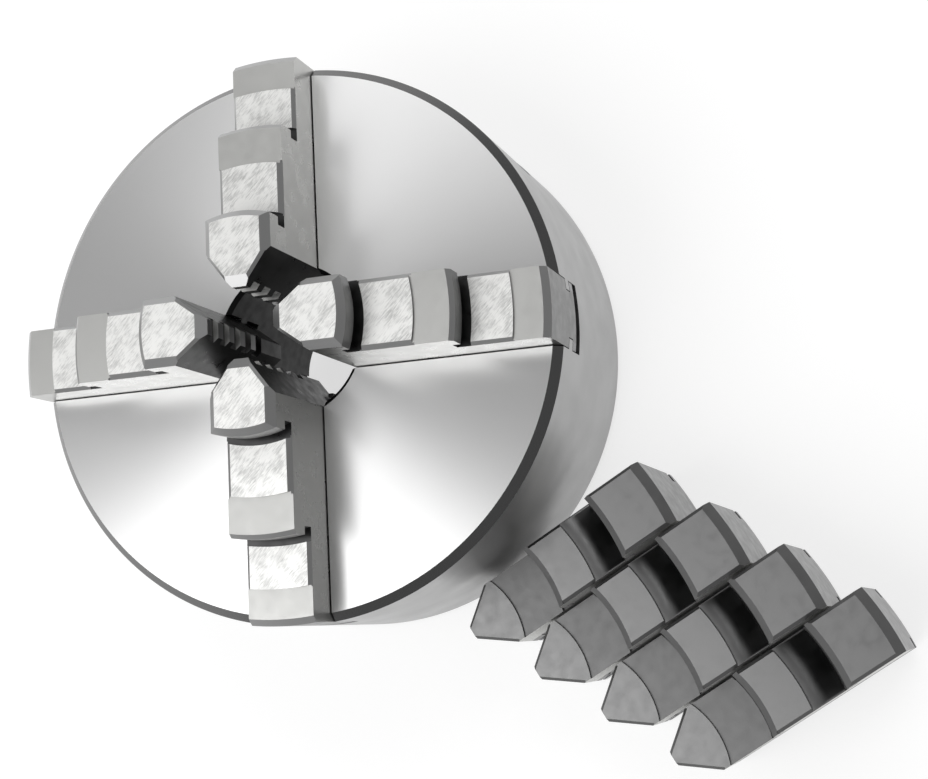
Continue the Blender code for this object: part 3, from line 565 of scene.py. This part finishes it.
@dataclass
class ChuckBody:
    """The one-piece body: turned outside, T-slots, bore, pinion holes and back holes."""

    radius: float = 80.0
    height: float = 65.0
    bore: float = 21.0
    hub: float = 31.0
    face_chamfer: float = 2.4
    back_chamfer: float = 1.5
    bore_chamfer: float = 1.2
    register: float = 65.0
    register_depth: float = 5.0
    cavity: float = 64.0
    cavity_top: float = 50.3
    hub_end: float = 13.3
    slot_half: float = 9.9
    neck_half: float = 6.9
    slot_floor: float = 46.5
    tongue_low: float = 53.8
    tongue_high: float = 57.2
    pinion_height: float = 29.7
    pinion_bore: float = 9.8
    stub_bore: float = 4.3
    stub_end: float = 25.0
    mounting_holes: HoleRing = HoleRing(71.0, 90.0, 3, 3.4, -OVERSHOOT, 14.0)
    pinion_screw_holes: HoleRing = HoleRing(70.0, 0.0, 2, 3.3, -OVERSHOOT, 18.7)
    cover_screw_holes: HoleRing = HoleRing(26.0, 15.0, 6, 2.8, 8.0, 22.5)
    edge_round: float = 0.25
    facets: int = 256
    pinion_hole_facets: int = 64

    def profile(self) -> Outline:
        """The body's section, down its outer side and back up through the cavity and bore.

        Returns:
            Its points as radius and height.
        """
        return [
            (self.radius - self.face_chamfer, self.height),
            (self.radius, self.height - self.face_chamfer),
            (self.radius, self.back_chamfer),
            (self.radius - self.back_chamfer, 0.0),
            (self.register, 0.0),
            (self.register, self.register_depth),
            (self.cavity, self.register_depth),
            (self.cavity, self.cavity_top),
            (self.hub, self.cavity_top),
            (self.hub, self.hub_end),
            (self.bore, self.hub_end),
            (self.bore, self.height - self.bore_chamfer),
            (self.bore + self.bore_chamfer, self.height),
        ]

    def slot_shape(self, azimuth: float) -> bmesh.types.BMesh:
        """A T-slot that runs right across the body.

        Args:
            azimuth: the slot's direction, in radians.

        Returns:
            Its cutter.
        """
        half = [
            (self.slot_half, self.slot_floor),
            (self.slot_half, self.tongue_low),
            (self.neck_half, self.tongue_low),
            (self.neck_half, self.tongue_high),
            (self.slot_half, self.tongue_high),
            (self.slot_half, self.height + OVERSHOOT),
        ]
        outline = half + [(-across, up) for across, up in reversed(half)]
        bm = bmesh.new()
        add_prism(bm, outline, -self.radius - OVERSHOOT, self.radius + OVERSHOOT)
        lay_down = Matrix(((0, 0, 1), (1, 0, 0), (0, 1, 0))).to_4x4()
        turn = Matrix.Rotation(azimuth, 4, "Z")
        bmesh.ops.transform(bm, matrix=turn @ lay_down, verts=bm.verts)
        return bm

    def pinion_hole_shape(self, side: int) -> bmesh.types.BMesh:
        """A stepped hole along X for a pinion.

        Args:
            side: +1 for the hole towards +X, -1 for the one opposite.

        Returns:
            Its cutter.
        """
        middle = (self.hub + self.cavity) / 2
        mouth = self.radius + OVERSHOOT
        profile = [(0.0, mouth), (self.pinion_bore, mouth), (self.pinion_bore, middle),
                   (self.stub_bore, middle), (self.stub_bore, self.stub_end),
                   (0.0, self.stub_end)]
        bm = bmesh.new()
        add_turned(bm, profile, self.pinion_hole_facets, closed=False)
        lay = Matrix.Translation((0, 0, self.pinion_height * MM))
        lay @= Matrix.Rotation(side * math.pi / 2, 4, "Y")
        bmesh.ops.transform(bm, matrix=lay, verts=bm.verts)
        return bm

    def back_holes_shape(self) -> bmesh.types.BMesh:
        """The mounting, pinion-screw and cover-screw holes, all from the back.

        Returns:
            Their cutter.
        """
        bm = bmesh.new()
        for ring in (self.mounting_holes, self.pinion_screw_holes, self.cover_screw_holes):
            ring.add_to(bm)
        return bm

    def surface_at(self, centre: Vector, up: float) -> BodySurface:
        """Tell how a face of the body was cut.

        Args:
            centre: the face's middle, in millimetres.
            up: the upright part of its normal.

        Returns:
            The kind of surface.
        """
        out = math.hypot(centre.x, centre.y)
        if up > 0.99 and centre.z > self.height - 0.1:
            return BodySurface.FACE
        # The rim's chamfers take the colour painted dark as shade.
        if out > self.radius - 3.0 and 0.3 < abs(up) < 0.95:
            return BodySurface.CHAMFER
        if out > self.radius - 0.3 and abs(up) < 0.1:
            return BodySurface.SIDE
        if centre.z < 0.1 and up < -0.9:
            return BodySurface.SIDE
        # The bore takes the colour painted dark as shade.
        if out < self.bore + 2.0:
            return BodySurface.BORE
        return BodySurface.SLOT

    def dress(self, item: bpy.types.Object, finishes: Finishes) -> None:
        """Give each face the finish of the tool that cut it.

        Args:
            item: the body.
            finishes: every finish.
        """
        mesh = item.data
        for material in (finishes.turned_face, finishes.turned_side, finishes.polished_chamfer,
                         finishes.milled_slot, finishes.bored_hole):
            mesh.materials.append(material)
        for polygon in mesh.polygons:
            polygon.material_index = self.surface_at(polygon.center / MM, polygon.normal.z)

    def build(self, finishes: Finishes) -> bpy.types.Object:
        """Make and dress the body.

        Args:
            finishes: every finish.

        Returns:
            The body, in place of its CAD node.
        """
        bm = bmesh.new()
        add_turned(bm, self.profile(), self.facets)
        body = new_object("chuck_body_turned", bm)
        first_slot = math.radians(-FIRST_JAW_AZIMUTH)
        for azimuth in (first_slot, -first_slot):
            combine(body, self.slot_shape(azimuth), ToolUse.CUT_AWAY)
        for side in (1, -1):
            combine(body, self.pinion_hole_shape(side), ToolUse.CUT_AWAY)
        combine(body, self.back_holes_shape(), ToolUse.CUT_AWAY)
        self.dress(body, finishes)
        soften(body, self.edge_round)
        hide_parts("chuck_body")
        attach(body, "chuck")
        LOG.info("chuck body: %d faces", len(body.data.polygons))
        return body


# ---------------------------------------------------------------- back cover
@dataclass
class BackCover:
    """The ring that closes the back, with counterbored holes for its six screws."""

    inner: float = 21.5
    outer: float = 63.7
    low: float = 5.0
    high: float = 13.0
    screw_circle: float = 26.0
    screw_phase: float = 15.0
    screw_count: int = 6
    head_radius: float = 4.55
    head_floor: float = 10.5
    hole_radius: float = 2.8
    edge_round: float = 0.3
    facets: int = 128

    def build(self, finishes: Finishes) -> bpy.types.Object:
        """Make and dress the cover.

        Args:
            finishes: every finish.

        Returns:
            The cover, in place of its CAD node.
        """
        bm = bmesh.new()
        add_turned(bm, [(self.inner, self.high), (self.outer, self.high), (self.outer, self.low),
                        (self.inner, self.low)], self.facets)
        cover = new_object("back_cover_turned", bm)
        for radius, top in ((self.head_radius, self.head_floor),
                            (self.hole_radius, self.high + OVERSHOOT)):
            holes = bmesh.new()
            ring = HoleRing(self.screw_circle, self.screw_phase, self.screw_count, radius, 0.0,
                            top)
            ring.add_to(holes)
            combine(cover, holes, ToolUse.CUT_AWAY)
        cover.data.materials.append(finishes.turned_side)
        cover.data.materials.append(finishes.bored_hole)
        for polygon in cover.data.polygons:
            centre = polygon.center / MM
            inside = math.hypot(centre.x, centre.y) < self.inner + 0.5
            # The cover's bore takes the colour painted dark as shade.
            polygon.material_index = 1 if inside and abs(polygon.normal.z) < 0.5 else 0
        soften(cover, self.edge_round)
        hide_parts("back_cover")
        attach(cover, "chuck")
        LOG.info("back cover: %d faces", len(cover.data.polygons))
        return cover


# ---------------------------------------------------------------- jaws
class JawKind(Enum):
    """Which way a jaw's steps rise."""

    INSIDE = "steps rise towards the tip"
    OUTSIDE = "steps rise away from the tip"


class JawSurface(IntEnum):
    """A jaw's surfaces, in the order of its materials."""

    FLANK = 0
    PAD = 1
    LAND = 2
    WALL = 3
    OILED = 4
    CHAMFER = 5
    MARK = 6
    CHEEK = 7


@dataclass
class Jaw:
    """One stepped jaw, made with its tip at the origin and its teeth standing on z = 0.

    Treads, lands and other places along the jaw are distances from its tip.
    """

    node: str
    body: str
    kind: JawKind
    azimuth: float
    slot_azimuth: float
    width: float = 19.2
    length: float = 70.3
    tooth_height: float = 3.3
    face_height: float = 18.0
    low_step: float = 12.0
    step_rise: float = 10.2
    nose_flat: float = 4.2
    cheek_length: float = 10.0
    bevel_length: float = 2.8
    bevel_drop: float = 2.0
    undercut_width: float = 1.6
    undercut_depth: float = 1.0
    undercut_height: float = 3.0
    undercut_reach: float = 2.2
    wall_chamfer: float = 1.9
    end_chamfer: float = 2.5
    number: int = 0
    guide_high: float = 10.5
    guide_low: float = 6.5
    guide_depth: float = 3.0
    land_drop: float = 0.7
    cheek_chamfer: float = 0.8
    chamfer_overrun: float = 0.37
    tip_radius: float = 9.7
    groove_count: int = 5
    groove_pitch: float = 6.5
    groove_height: float = 3.6
    groove_depth: float = 1.5
    groove_start: float = 4.5
    scroll_pitch: float = 6.5
    tooth_width: float = 2.6
    tooth_span: float = 13.0
    tooth_sink: float = 0.5
    thread_start: float = 33.8
    end_margin: float = 4.5
    inside_treads: tuple[float, float] = (20.8, 47.3)
    outside_treads: tuple[float, float] = (28.8, 52.8)
    inside_lands: tuple[float, float] = (36.2, 60.4)
    outside_lands: tuple[float, float] = (14.3, 41.3)
    land_overrun: float = 3.0
    pad_chamfers: tuple[float, float, float] = (2.2, 1.3, 1.0)
    spare_chamfer: float = 0.9
    wedge_reach: float = 4.0
    cutter_half: float = 15.0
    number_size: float = 6.0
    number_depth: float = 0.35
    number_offset: float = 3.6
    number_height: float = 11.8
    edge_round: float = 0.22
    arc_steps: int = 24

    def levels(self) -> tuple[float, float, float]:
        """The heights of the low, middle and high steps above the teeth's tips."""
        low = self.face_height + self.low_step
        return low, low + self.step_rise, low + 2 * self.step_rise

    def treads(self) -> tuple[float, float]:
        """The distances of the two walls from the tip."""
        return self.inside_treads if self.kind is JawKind.INSIDE else self.outside_treads

    def arc(self, distance: float, half: float, radius: float | None = None) -> Outline:
        """Points across the jaw on an arc about the chuck's axis.

        Args:
            distance: where the arc crosses the jaw's middle, from the tip.
            half: how far it goes to either side.
            radius: the arc's radius, by default that of the chuck's axis.

        Returns:
            The points from -half to +half.
        """
        bend = radius or distance + self.tip_radius
        points = []
        for step in range(self.arc_steps + 1):
            y = half * (2.0 * step / self.arc_steps - 1.0)
            points.append((distance - bend + math.sqrt(bend * bend - y * y), y))
        return points

    def outline(self) -> Outline:
        """The jaw from above: tip, cheeks, flanks and a slightly rounded outer end.

        Returns:
            Its points in order.
        """
        half = self.width / 2
        flat = self.nose_flat / 2
        end = self.arc(self.length, half)
        cheek = self.cheek_length
        return [(0.0, flat), (0.0, -flat), (cheek, -half)] + end + [(cheek, half)]

    def clear_side(self, distance: float, low: float, high: float,
                   outward: bool) -> bmesh.types.BMesh:
        """A cutter for everything on one side of an arc, between two heights.

        Args:
            distance: where the arc crosses the jaw's middle.
            low: the cutter's underside.
            high: its top.
            outward: whether it lies beyond the arc or between the arc and the tip.

        Returns:
            The cutter.
        """
        half = self.width / 2 + OVERSHOOT
        far = self.length + OVERSHOOT if outward else -OVERSHOOT
        bm = bmesh.new()
        add_prism(bm, self.arc(distance, half) + [(far, half), (far, -half)], low, high)
        return bm

    def band(self, near: float, far: float, low: float, high: float) -> bmesh.types.BMesh:
        """A cutter between two arcs and two heights, right across the jaw.

        Args:
            near: where the arc nearer the tip crosses the jaw's middle.
            far: where the other arc crosses it.
            low: the cutter's underside.
            high: its top.

        Returns:
            The cutter.
        """
        half = self.width / 2 + OVERSHOOT
        outline = self.arc(near, half) + list(reversed(self.arc(far, half)))
        bm = bmesh.new()
        add_prism(bm, outline, low, high)
        return bm

    def cut_steps(self, item: bpy.types.Object) -> None:
        """Cut the two lower steps, their undercuts and the lowered lands.

        Args:
            item: the jaw.
        """
        low, middle, high = self.levels()
        first, second = self.treads()
        top = high + OVERSHOOT
        inside = self.kind is JawKind.INSIDE
        walls = [(first, middle), (second, low)] if inside else [(first, low), (second, middle)]
        for distance, level in walls:
            combine(item, self.clear_side(distance, level, top, inside), ToolUse.CUT_AWAY)
            near, far = distance - self.undercut_reach, distance + self.undercut_width
            if not inside:
                near, far = distance - self.undercut_width, distance + self.undercut_reach
            relief = self.band(near, far, level - self.undercut_depth,
                               level + self.undercut_height)
            combine(item, relief, ToolUse.CUT_AWAY)
            combine(item, self.slope(distance, level + self.step_rise, self.wall_chamfer, inside),
                    ToolUse.CUT_AWAY)
        end_level = low if inside else high
        combine(item, self.slope(self.length, end_level, self.end_chamfer, True),
                ToolUse.CUT_AWAY)
        for near, far, level in self.lands():
            combine(item, self.band(near, far, level - self.land_drop, level + PROUD),
                    ToolUse.CUT_AWAY)

    def slope(self, distance: float, level: float, width: float,
              outward: bool) -> bmesh.types.BMesh:
        """A cutter for the 45 degree chamfer on the top edge of a curved wall.

        Args:
            distance: the wall's place, from the tip.
            level: the top edge's height.
            width: the chamfer's width and depth.
            outward: whether the wall faces away from the tip.

        Returns:
            The cutter.
        """
        half = self.width / 2 + OVERSHOOT
        sign = 1.0 if outward else -1.0
        far = distance + sign * self.wedge_reach
        outline = self.arc(distance, half) + [(far, half), (far, -half)]
        bm = bmesh.new()
        verts = add_prism(bm, outline, level - width, level + PROUD)
        for vert in verts:
            if vert.co.z > level * MM and sign * (vert.co.x - (far - sign * PROUD) * MM) < 0.0:
                vert.co.x -= sign * (width + PROUD) * MM
        return bm

    def lands(self) -> list[tuple[float, float, float]]:
        """The plain lands beside the pads.

        Returns:
            The near and far arcs and the level of each.
        """
        low, middle, _ = self.levels()
        first, second = self.treads()
        if self.kind is JawKind.INSIDE:
            upper, lower = self.inside_lands
            return [(upper, second + self.land_overrun, middle),
                    (lower, self.length + self.land_overrun, low)]
        lower, upper = self.outside_lands
        return [(lower, first - self.undercut_width, low),
                (upper, second - self.undercut_width, middle)]

    def tip_shape(self) -> bmesh.types.BMesh:
        """The bevel over the tip and the serrations across it.

        Returns:
            Their cutter.
        """
        high = self.levels()[2]
        across = self.cutter_half
        bm = bmesh.new()
        verts = add_box(bm, (-OVERSHOOT, -across, high),
                        (self.bevel_length, across, high + 3.0 * PROUD))
        for vert in verts:
            if vert.co.z < (high + PROUD) * MM:
                drop = (self.bevel_length * MM - vert.co.x) * self.bevel_drop / self.bevel_length
                vert.co.z -= drop
        for index in range(self.groove_count):
            top = high - self.groove_start - index * self.groove_pitch
            add_box(bm, (-OVERSHOOT, -across, top - self.groove_height),
                    (self.groove_depth, across, top))
        return bm

    def guides_shape(self) -> bmesh.types.BMesh:
        """The guide grooves along both flanks.

        Returns:
            Their cutter.
        """
        half = self.width / 2
        end = self.length + OVERSHOOT
        bm = bmesh.new()
        add_box(bm, (-OVERSHOOT, half - self.guide_depth, self.guide_low),
                (end, half + OVERSHOOT, self.guide_high))
        add_box(bm, (-OVERSHOOT, -half - OVERSHOOT, self.guide_low),
                (end, self.guide_depth - half, self.guide_high))
        return bm

    def teeth_shape(self) -> bmesh.types.BMesh:
        """The scroll teeth under the jaw, each a crescent across it.

        Returns:
            The teeth, which reach a little into the jaw.
        """
        half = self.tooth_span / 2
        first = self.thread_start - self.tip_radius
        first += self.scroll_pitch * (self.slot_azimuth / math.tau + 0.5)
        middle = self.end_margin + (first - self.end_margin) % self.scroll_pitch
        bm = bmesh.new()
        while middle < self.length - self.end_margin:
            front = self.arc(middle + self.tooth_width / 2, half, self.thread_start)
            back = middle - self.tooth_width / 2
            add_prism(bm, front + [(back, half), (back, -half)], 0.0,
                      self.tooth_height + self.tooth_sink)
            middle += self.scroll_pitch
        return bm

    def edge_cuts(self) -> list[tuple[tuple, tuple, float, float]]:
        """The straight top edges to chamfer.

        Returns:
            The two ends in plan, the height and the chamfer's width of each.
        """
        low, middle, high = self.levels()
        first, second = self.treads()
        half = self.width / 2
        flat = self.nose_flat / 2
        cheek = self.cheek_length
        sag = self.length - self.arc(self.length, half)[0][0]
        if self.kind is JawKind.INSIDE:
            nose = high
            upper, lower = self.inside_lands
            widths = self.pad_chamfers
            spans = [(cheek - 1.0, first, high, widths[0]),
                     (first, upper - sag, middle, widths[1]),
                     (second, lower - sag, low, widths[2])]
        else:
            nose = low
            spans = [(first + 1.0, second, middle, self.spare_chamfer),
                     (second + 1.0, self.length, high, self.spare_chamfer)]
        cuts = [((0.0, flat), (cheek, half), nose, self.cheek_chamfer),
                ((cheek, -half), (0.0, -flat), nose, self.cheek_chamfer)]
        for near, far, level, width in spans:
            cuts.append(((near, half), (far, half), level, width))
            cuts.append(((far, -half), (near, -half), level, width))
        return cuts

    def chamfer_edges(self, item: bpy.types.Object) -> None:
        """Chamfer the straight top edges with wedges laid along them.

        Args:
            item: the jaw.
        """
        for start, end, level, width in self.edge_cuts():
            along = Vector((end[0] - start[0], end[1] - start[1], 0.0))
            bm = bmesh.new()
            wedge = [(PROUD, -width - PROUD), (PROUD, PROUD), (-width - PROUD, PROUD)]
            verts = add_prism(bm, wedge, -self.chamfer_overrun,
                              along.length + self.chamfer_overrun)
            along.normalize()
            outward = Vector((-along.y, along.x, 0.0))
            lay = Matrix((outward, Vector((0, 0, 1)), along)).transposed().to_4x4()
            spot = Vector((start[0], start[1], level)) * MM
            bmesh.ops.transform(bm, matrix=Matrix.Translation(spot) @ lay, verts=verts)
            combine(item, bm, ToolUse.CUT_AWAY)

    def engrave_number(self, item: bpy.types.Object) -> None:
        """Cut the jaw's number into its flank, near the tip and above the guide groove.

        Args:
            item: the jaw.
        """
        curve = bpy.data.curves.new("number", "FONT")
        curve.body = str(self.number)
        curve.size = self.number_size * MM
        curve.extrude = self.number_depth * MM
        curve.align_x = "CENTER"
        text = bpy.data.objects.new("number", curve)
        bpy.context.scene.collection.objects.link(text)
        bpy.context.view_layer.update()
        bm = bmesh.new()
        shaped = text.evaluated_get(bpy.context.evaluated_depsgraph_get())
        bm.from_mesh(bpy.data.meshes.new_from_object(shaped))
        bpy.data.objects.remove(text)
        spot = Vector((self.cheek_length + self.number_offset, -self.width / 2,
                       self.number_height)) * MM
        stand = Matrix.Translation(spot) @ Matrix.Rotation(math.pi / 2, 4, "X")
        bmesh.ops.transform(bm, matrix=stand, verts=bm.verts)
        combine(item, bm, ToolUse.CUT_AWAY)

    def in_undercut(self, spot: Vector) -> bool:
        """Tell whether a spot lies in the relief at the foot of a wall.

        Args:
            spot: the spot, in millimetres.

        Returns:
            True if it does.
        """
        low, middle, _ = self.levels()
        first, second = self.treads()
        inside = self.kind is JawKind.INSIDE
        for distance, level in ((first, middle if inside else low),
                                (second, low if inside else middle)):
            reach = (distance - spot.x) if inside else (spot.x - distance)
            beside = -self.undercut_width - 0.1 < reach < self.undercut_reach + 1.5
            above = -self.undercut_depth - 0.1 < spot.z - level < self.undercut_height + 0.1
            if beside and above and abs(spot.z - level) > 0.05:
                return True
        return False

    def surface_at(self, centre: Vector, normal: Vector) -> JawSurface:
        """Tell which of the jaw's surfaces a face belongs to.

        Args:
            centre: the face's middle, in millimetres.
            normal: its outward direction.

        Returns:
            The surface. On a spare jaw, whose cheeks are blasted like its flanks, the nose
            counts as flank.
        """
        inside = self.kind is JawKind.INSIDE
        half = self.width / 2
        # A fitted jaw's nose sits in the bore and gets the cheek colour painted dark as shade.
        nose = JawSurface.CHEEK if inside else JawSurface.FLANK
        # Faces in the undercut reliefs get the cheek colour painted dark as shade.
        if abs(normal.y) < 0.95 and self.in_undercut(centre):
            return JawSurface.CHEEK
        if normal.z > 0.95 and any(abs(centre.z - level) < 0.1 for level in self.levels()):
            return JawSurface.PAD
        if normal.z > 0.95 and centre.z > self.face_height + 5.0:
            return JawSurface.LAND
        if normal.z > 0.5 and centre.z > self.face_height + 3.0:
            return JawSurface.CHAMFER
        if 11.0 < centre.z < 17.5 and half - 0.5 < -centre.y < half - 0.05:
            return JawSurface.MARK
        if normal.x < -0.4 and abs(normal.y) > 0.6:
            return nose
        # Low on a fitted jaw's nose the faces get the cheek colour painted dark as shade;
        # elsewhere they get oiled steel.
        if centre.z < self.guide_high + 0.1 and abs(centre.y) < half - 0.1:
            return JawSurface.CHEEK if inside and centre.x < half else JawSurface.OILED
        if abs(normal.y) > 0.95:
            return JawSurface.FLANK
        if centre.x < 0.3:
            return JawSurface.CHAMFER if inside else JawSurface.FLANK
        return nose if centre.x < half else JawSurface.WALL

    def dress(self, item: bpy.types.Object, finishes: Finishes) -> None:
        """Give pads, lands, flanks, walls and teeth their finishes.

        Args:
            item: the jaw.
            finishes: every finish.
        """
        inside = self.kind is JawKind.INSIDE
        flank = finishes.ground_flank if inside else finishes.blasted_flank
        pad = finishes.lapped_pad if inside else finishes.tempered_top
        land = finishes.honed_land if inside else finishes.tempered_land
        mesh = item.data
        for material in (flank, pad, land, finishes.milled_wall, finishes.oiled_steel,
                         finishes.ground_chamfer if inside else land, finishes.etched_mark,
                         finishes.oiled_cheek):
            mesh.materials.append(material)
        for polygon in mesh.polygons:
            polygon.material_index = self.surface_at(polygon.center / MM, polygon.normal)

    def shape(self) -> bpy.types.Object:
        """Model the jaw at the origin.

        Returns:
            The jaw before its finishes and its place.
        """
        bm = bmesh.new()
        add_prism(bm, self.outline(), self.tooth_height, self.levels()[2])
        jaw = new_object(f"{self.node}_stepped", bm)
        self.cut_steps(jaw)
        combine(jaw, self.guides_shape(), ToolUse.CUT_AWAY)
        combine(jaw, self.teeth_shape(), ToolUse.JOIN_ON)
        if self.kind is JawKind.INSIDE:
            combine(jaw, self.tip_shape(), ToolUse.CUT_AWAY)
        self.chamfer_edges(jaw)
        if self.number:
            self.engrave_number(jaw)
        return jaw

    def placed(self) -> Matrix:
        """Work out where the jaw's CAD node stands, from its tip and azimuth.

        Returns:
            The move from the origin to that place.
        """
        low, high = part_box(self.node)
        turn = Matrix.Rotation(self.azimuth, 4, "Z")
        if self.kind is JawKind.INSIDE:
            return Matrix.Translation(polar(self.tip_radius * MM, self.azimuth, low.z)) @ turn
        half = self.width / 2
        corners = [turn @ Vector((x * MM, y * MM, 0.0)) for x, y in self.outline()]
        shift_x = low.x - min(corner.x for corner in corners)
        shift_y = low.y - min(corner.y for corner in corners)
        return Matrix.Translation((shift_x, shift_y, low.z)) @ turn

    def build(self, finishes: Finishes) -> bpy.types.Object:
        """Make, dress and place the jaw.

        Args:
            finishes: every finish.

        Returns:
            The jaw, in place of its CAD node.
        """
        jaw = self.shape()
        self.dress(jaw, finishes)
        soften(jaw, self.edge_round)
        place(jaw, self.placed())
        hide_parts(self.node)
        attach(jaw, self.body)
        LOG.info("%s: %d faces", self.node, len(jaw.data.polygons))
        return jaw


# ---------------------------------------------------------------- inner pieces
@dataclass
class Works:
    """The pieces inside and behind the body, which keep their CAD shapes."""

    def dress(self, finishes: Finishes) -> None:
        """Give every CAD node that still shows its finish.

        Args:
            finishes: every finish.
        """
        for name, node in frame["nodes"].items():
            if node.hide_render:
                continue
            node.data.materials.clear()
            if name.startswith(("cover_screw", "pinion_screw")):
                node.data.materials.append(finishes.black_oxide)
            # Pinions sit deep in their holes and take the bore's colour painted dark as shade.
            elif name.startswith("pinion"):
                node.data.materials.append(finishes.bored_hole)
            else:
                node.data.materials.append(finishes.oiled_steel)
            LOG.info("%s: dressed", name)


# ---------------------------------------------------------------- studio
@dataclass(frozen=True)
class Softbox:
    """A rectangular soft light a metre from the chuck, aimed at it.

    Its azimuth about the chuck's axis and its elevation are in degrees, its size in metres.
    """

    name: str
    azimuth: float
    elevation: float
    size: tuple[float, float]
    radiance: float

    def hang(self) -> None:
        """Add the light to the scene."""
        data = bpy.data.lights.new(self.name, "AREA")
        data.shape = "RECTANGLE"
        data.size, data.size_y = self.size
        data.energy = self.radiance * math.pi * self.size[0] * self.size[1]
        item = bpy.data.objects.new(self.name, data)
        bpy.context.scene.collection.objects.link(item)
        rise = math.radians(self.elevation)
        spot = polar(math.cos(rise), math.radians(self.azimuth), math.sin(rise))
        turn = (-spot).to_track_quat("-Z", "Y").to_matrix().to_4x4()
        item.matrix_world = Matrix.Translation(spot) @ turn


@dataclass
class Studio:
    """A pale floor, soft lights and the camera; the camera's places are in millimetres."""

    camera_place: tuple[float, float, float] = (71.0, -192.5, 463.6)
    camera_target: tuple[float, float, float] = (22.8, -49.9, 65.0)
    camera_roll: float = 68.13
    lens: float = 60.96
    sensor_width: float = 36.0
    nearest: float = 0.01
    floor_size: float = 6.0
    floor_colour: str = "A0A0A0"
    floor_glow: float = 0.68
    sky_strength: float = 0.32
    softboxes: tuple[Softbox, ...] = (
        Softbox("key", -178.0, 55.0, (0.95, 0.95), 2.6),
        Softbox("fill", 33.0, 48.0, (1.1, 0.6), 2.1),
    )

    def add_floor(self) -> None:
        """Lay the floor under everything."""
        bm = bmesh.new()
        bmesh.ops.create_grid(bm, x_segments=1, y_segments=1, size=self.floor_size / 2)
        floor = new_object("floor", bm)
        material = bpy.data.materials.new("matt white paper")
        material.use_nodes = True
        shader = material.node_tree.nodes["Principled BSDF"]
        shader.inputs["Base Color"].default_value = srgb(self.floor_colour)
        shader.inputs["Roughness"].default_value = 0.9
        shader.inputs["Emission Color"].default_value = srgb("FFFFFF")
        shader.inputs["Emission Strength"].default_value = self.floor_glow
        floor.data.materials.append(material)

    def add_camera(self) -> None:
        """Set up the camera, rolled so that jaw 1 points right and jaw 2 up."""
        data = bpy.data.cameras.new("camera")
        data.lens = self.lens
        data.sensor_width = self.sensor_width
        data.clip_start = self.nearest
        camera = bpy.data.objects.new("camera", data)
        bpy.context.scene.collection.objects.link(camera)
        spot = Vector(self.camera_place) * MM
        look = Vector(self.camera_target) * MM - spot
        aim = look.to_track_quat("-Z", "Y")
        roll = Matrix.Rotation(math.radians(-self.camera_roll), 4, "Z")
        camera.matrix_world = Matrix.Translation(spot) @ aim.to_matrix().to_4x4() @ roll
        bpy.context.scene.camera = camera

    def build(self) -> None:
        """Set the whole studio up."""
        world = bpy.data.worlds.new("studio")
        world.use_nodes = True
        sky = world.node_tree.nodes["Background"]
        sky.inputs["Color"].default_value = (1, 1, 1, 1)
        sky.inputs["Strength"].default_value = self.sky_strength
        bpy.context.scene.world = world
        self.add_floor()
        for softbox in self.softboxes:
            softbox.hang()
        self.add_camera()
        bpy.context.scene.view_settings.view_transform = "Standard"


def main() -> None:
    """Build every sub-assembly in order."""
    logging.basicConfig(level=logging.INFO, format="%(name)s: %(message)s")
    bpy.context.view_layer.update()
    finishes = Finishes.build()
    ChuckBody().build(finishes)
    BackCover().build(finishes)
    for number in range(1, JAW_COUNT + 1):
        azimuth = math.radians(FIRST_JAW_AZIMUTH + 360.0 / JAW_COUNT * (number - 1))
        fitted, spare = f"jaw_{number}", f"outside_jaw_{number}"
        Jaw(fitted, fitted, JawKind.INSIDE, azimuth, azimuth).build(finishes)
        Jaw(spare, spare, JawKind.OUTSIDE, math.radians(SPARE_HEADING), azimuth,
            number=number).build(finishes)
    Works().dress(finishes)
    Studio().build()


if __name__ == "__main__":
    main()
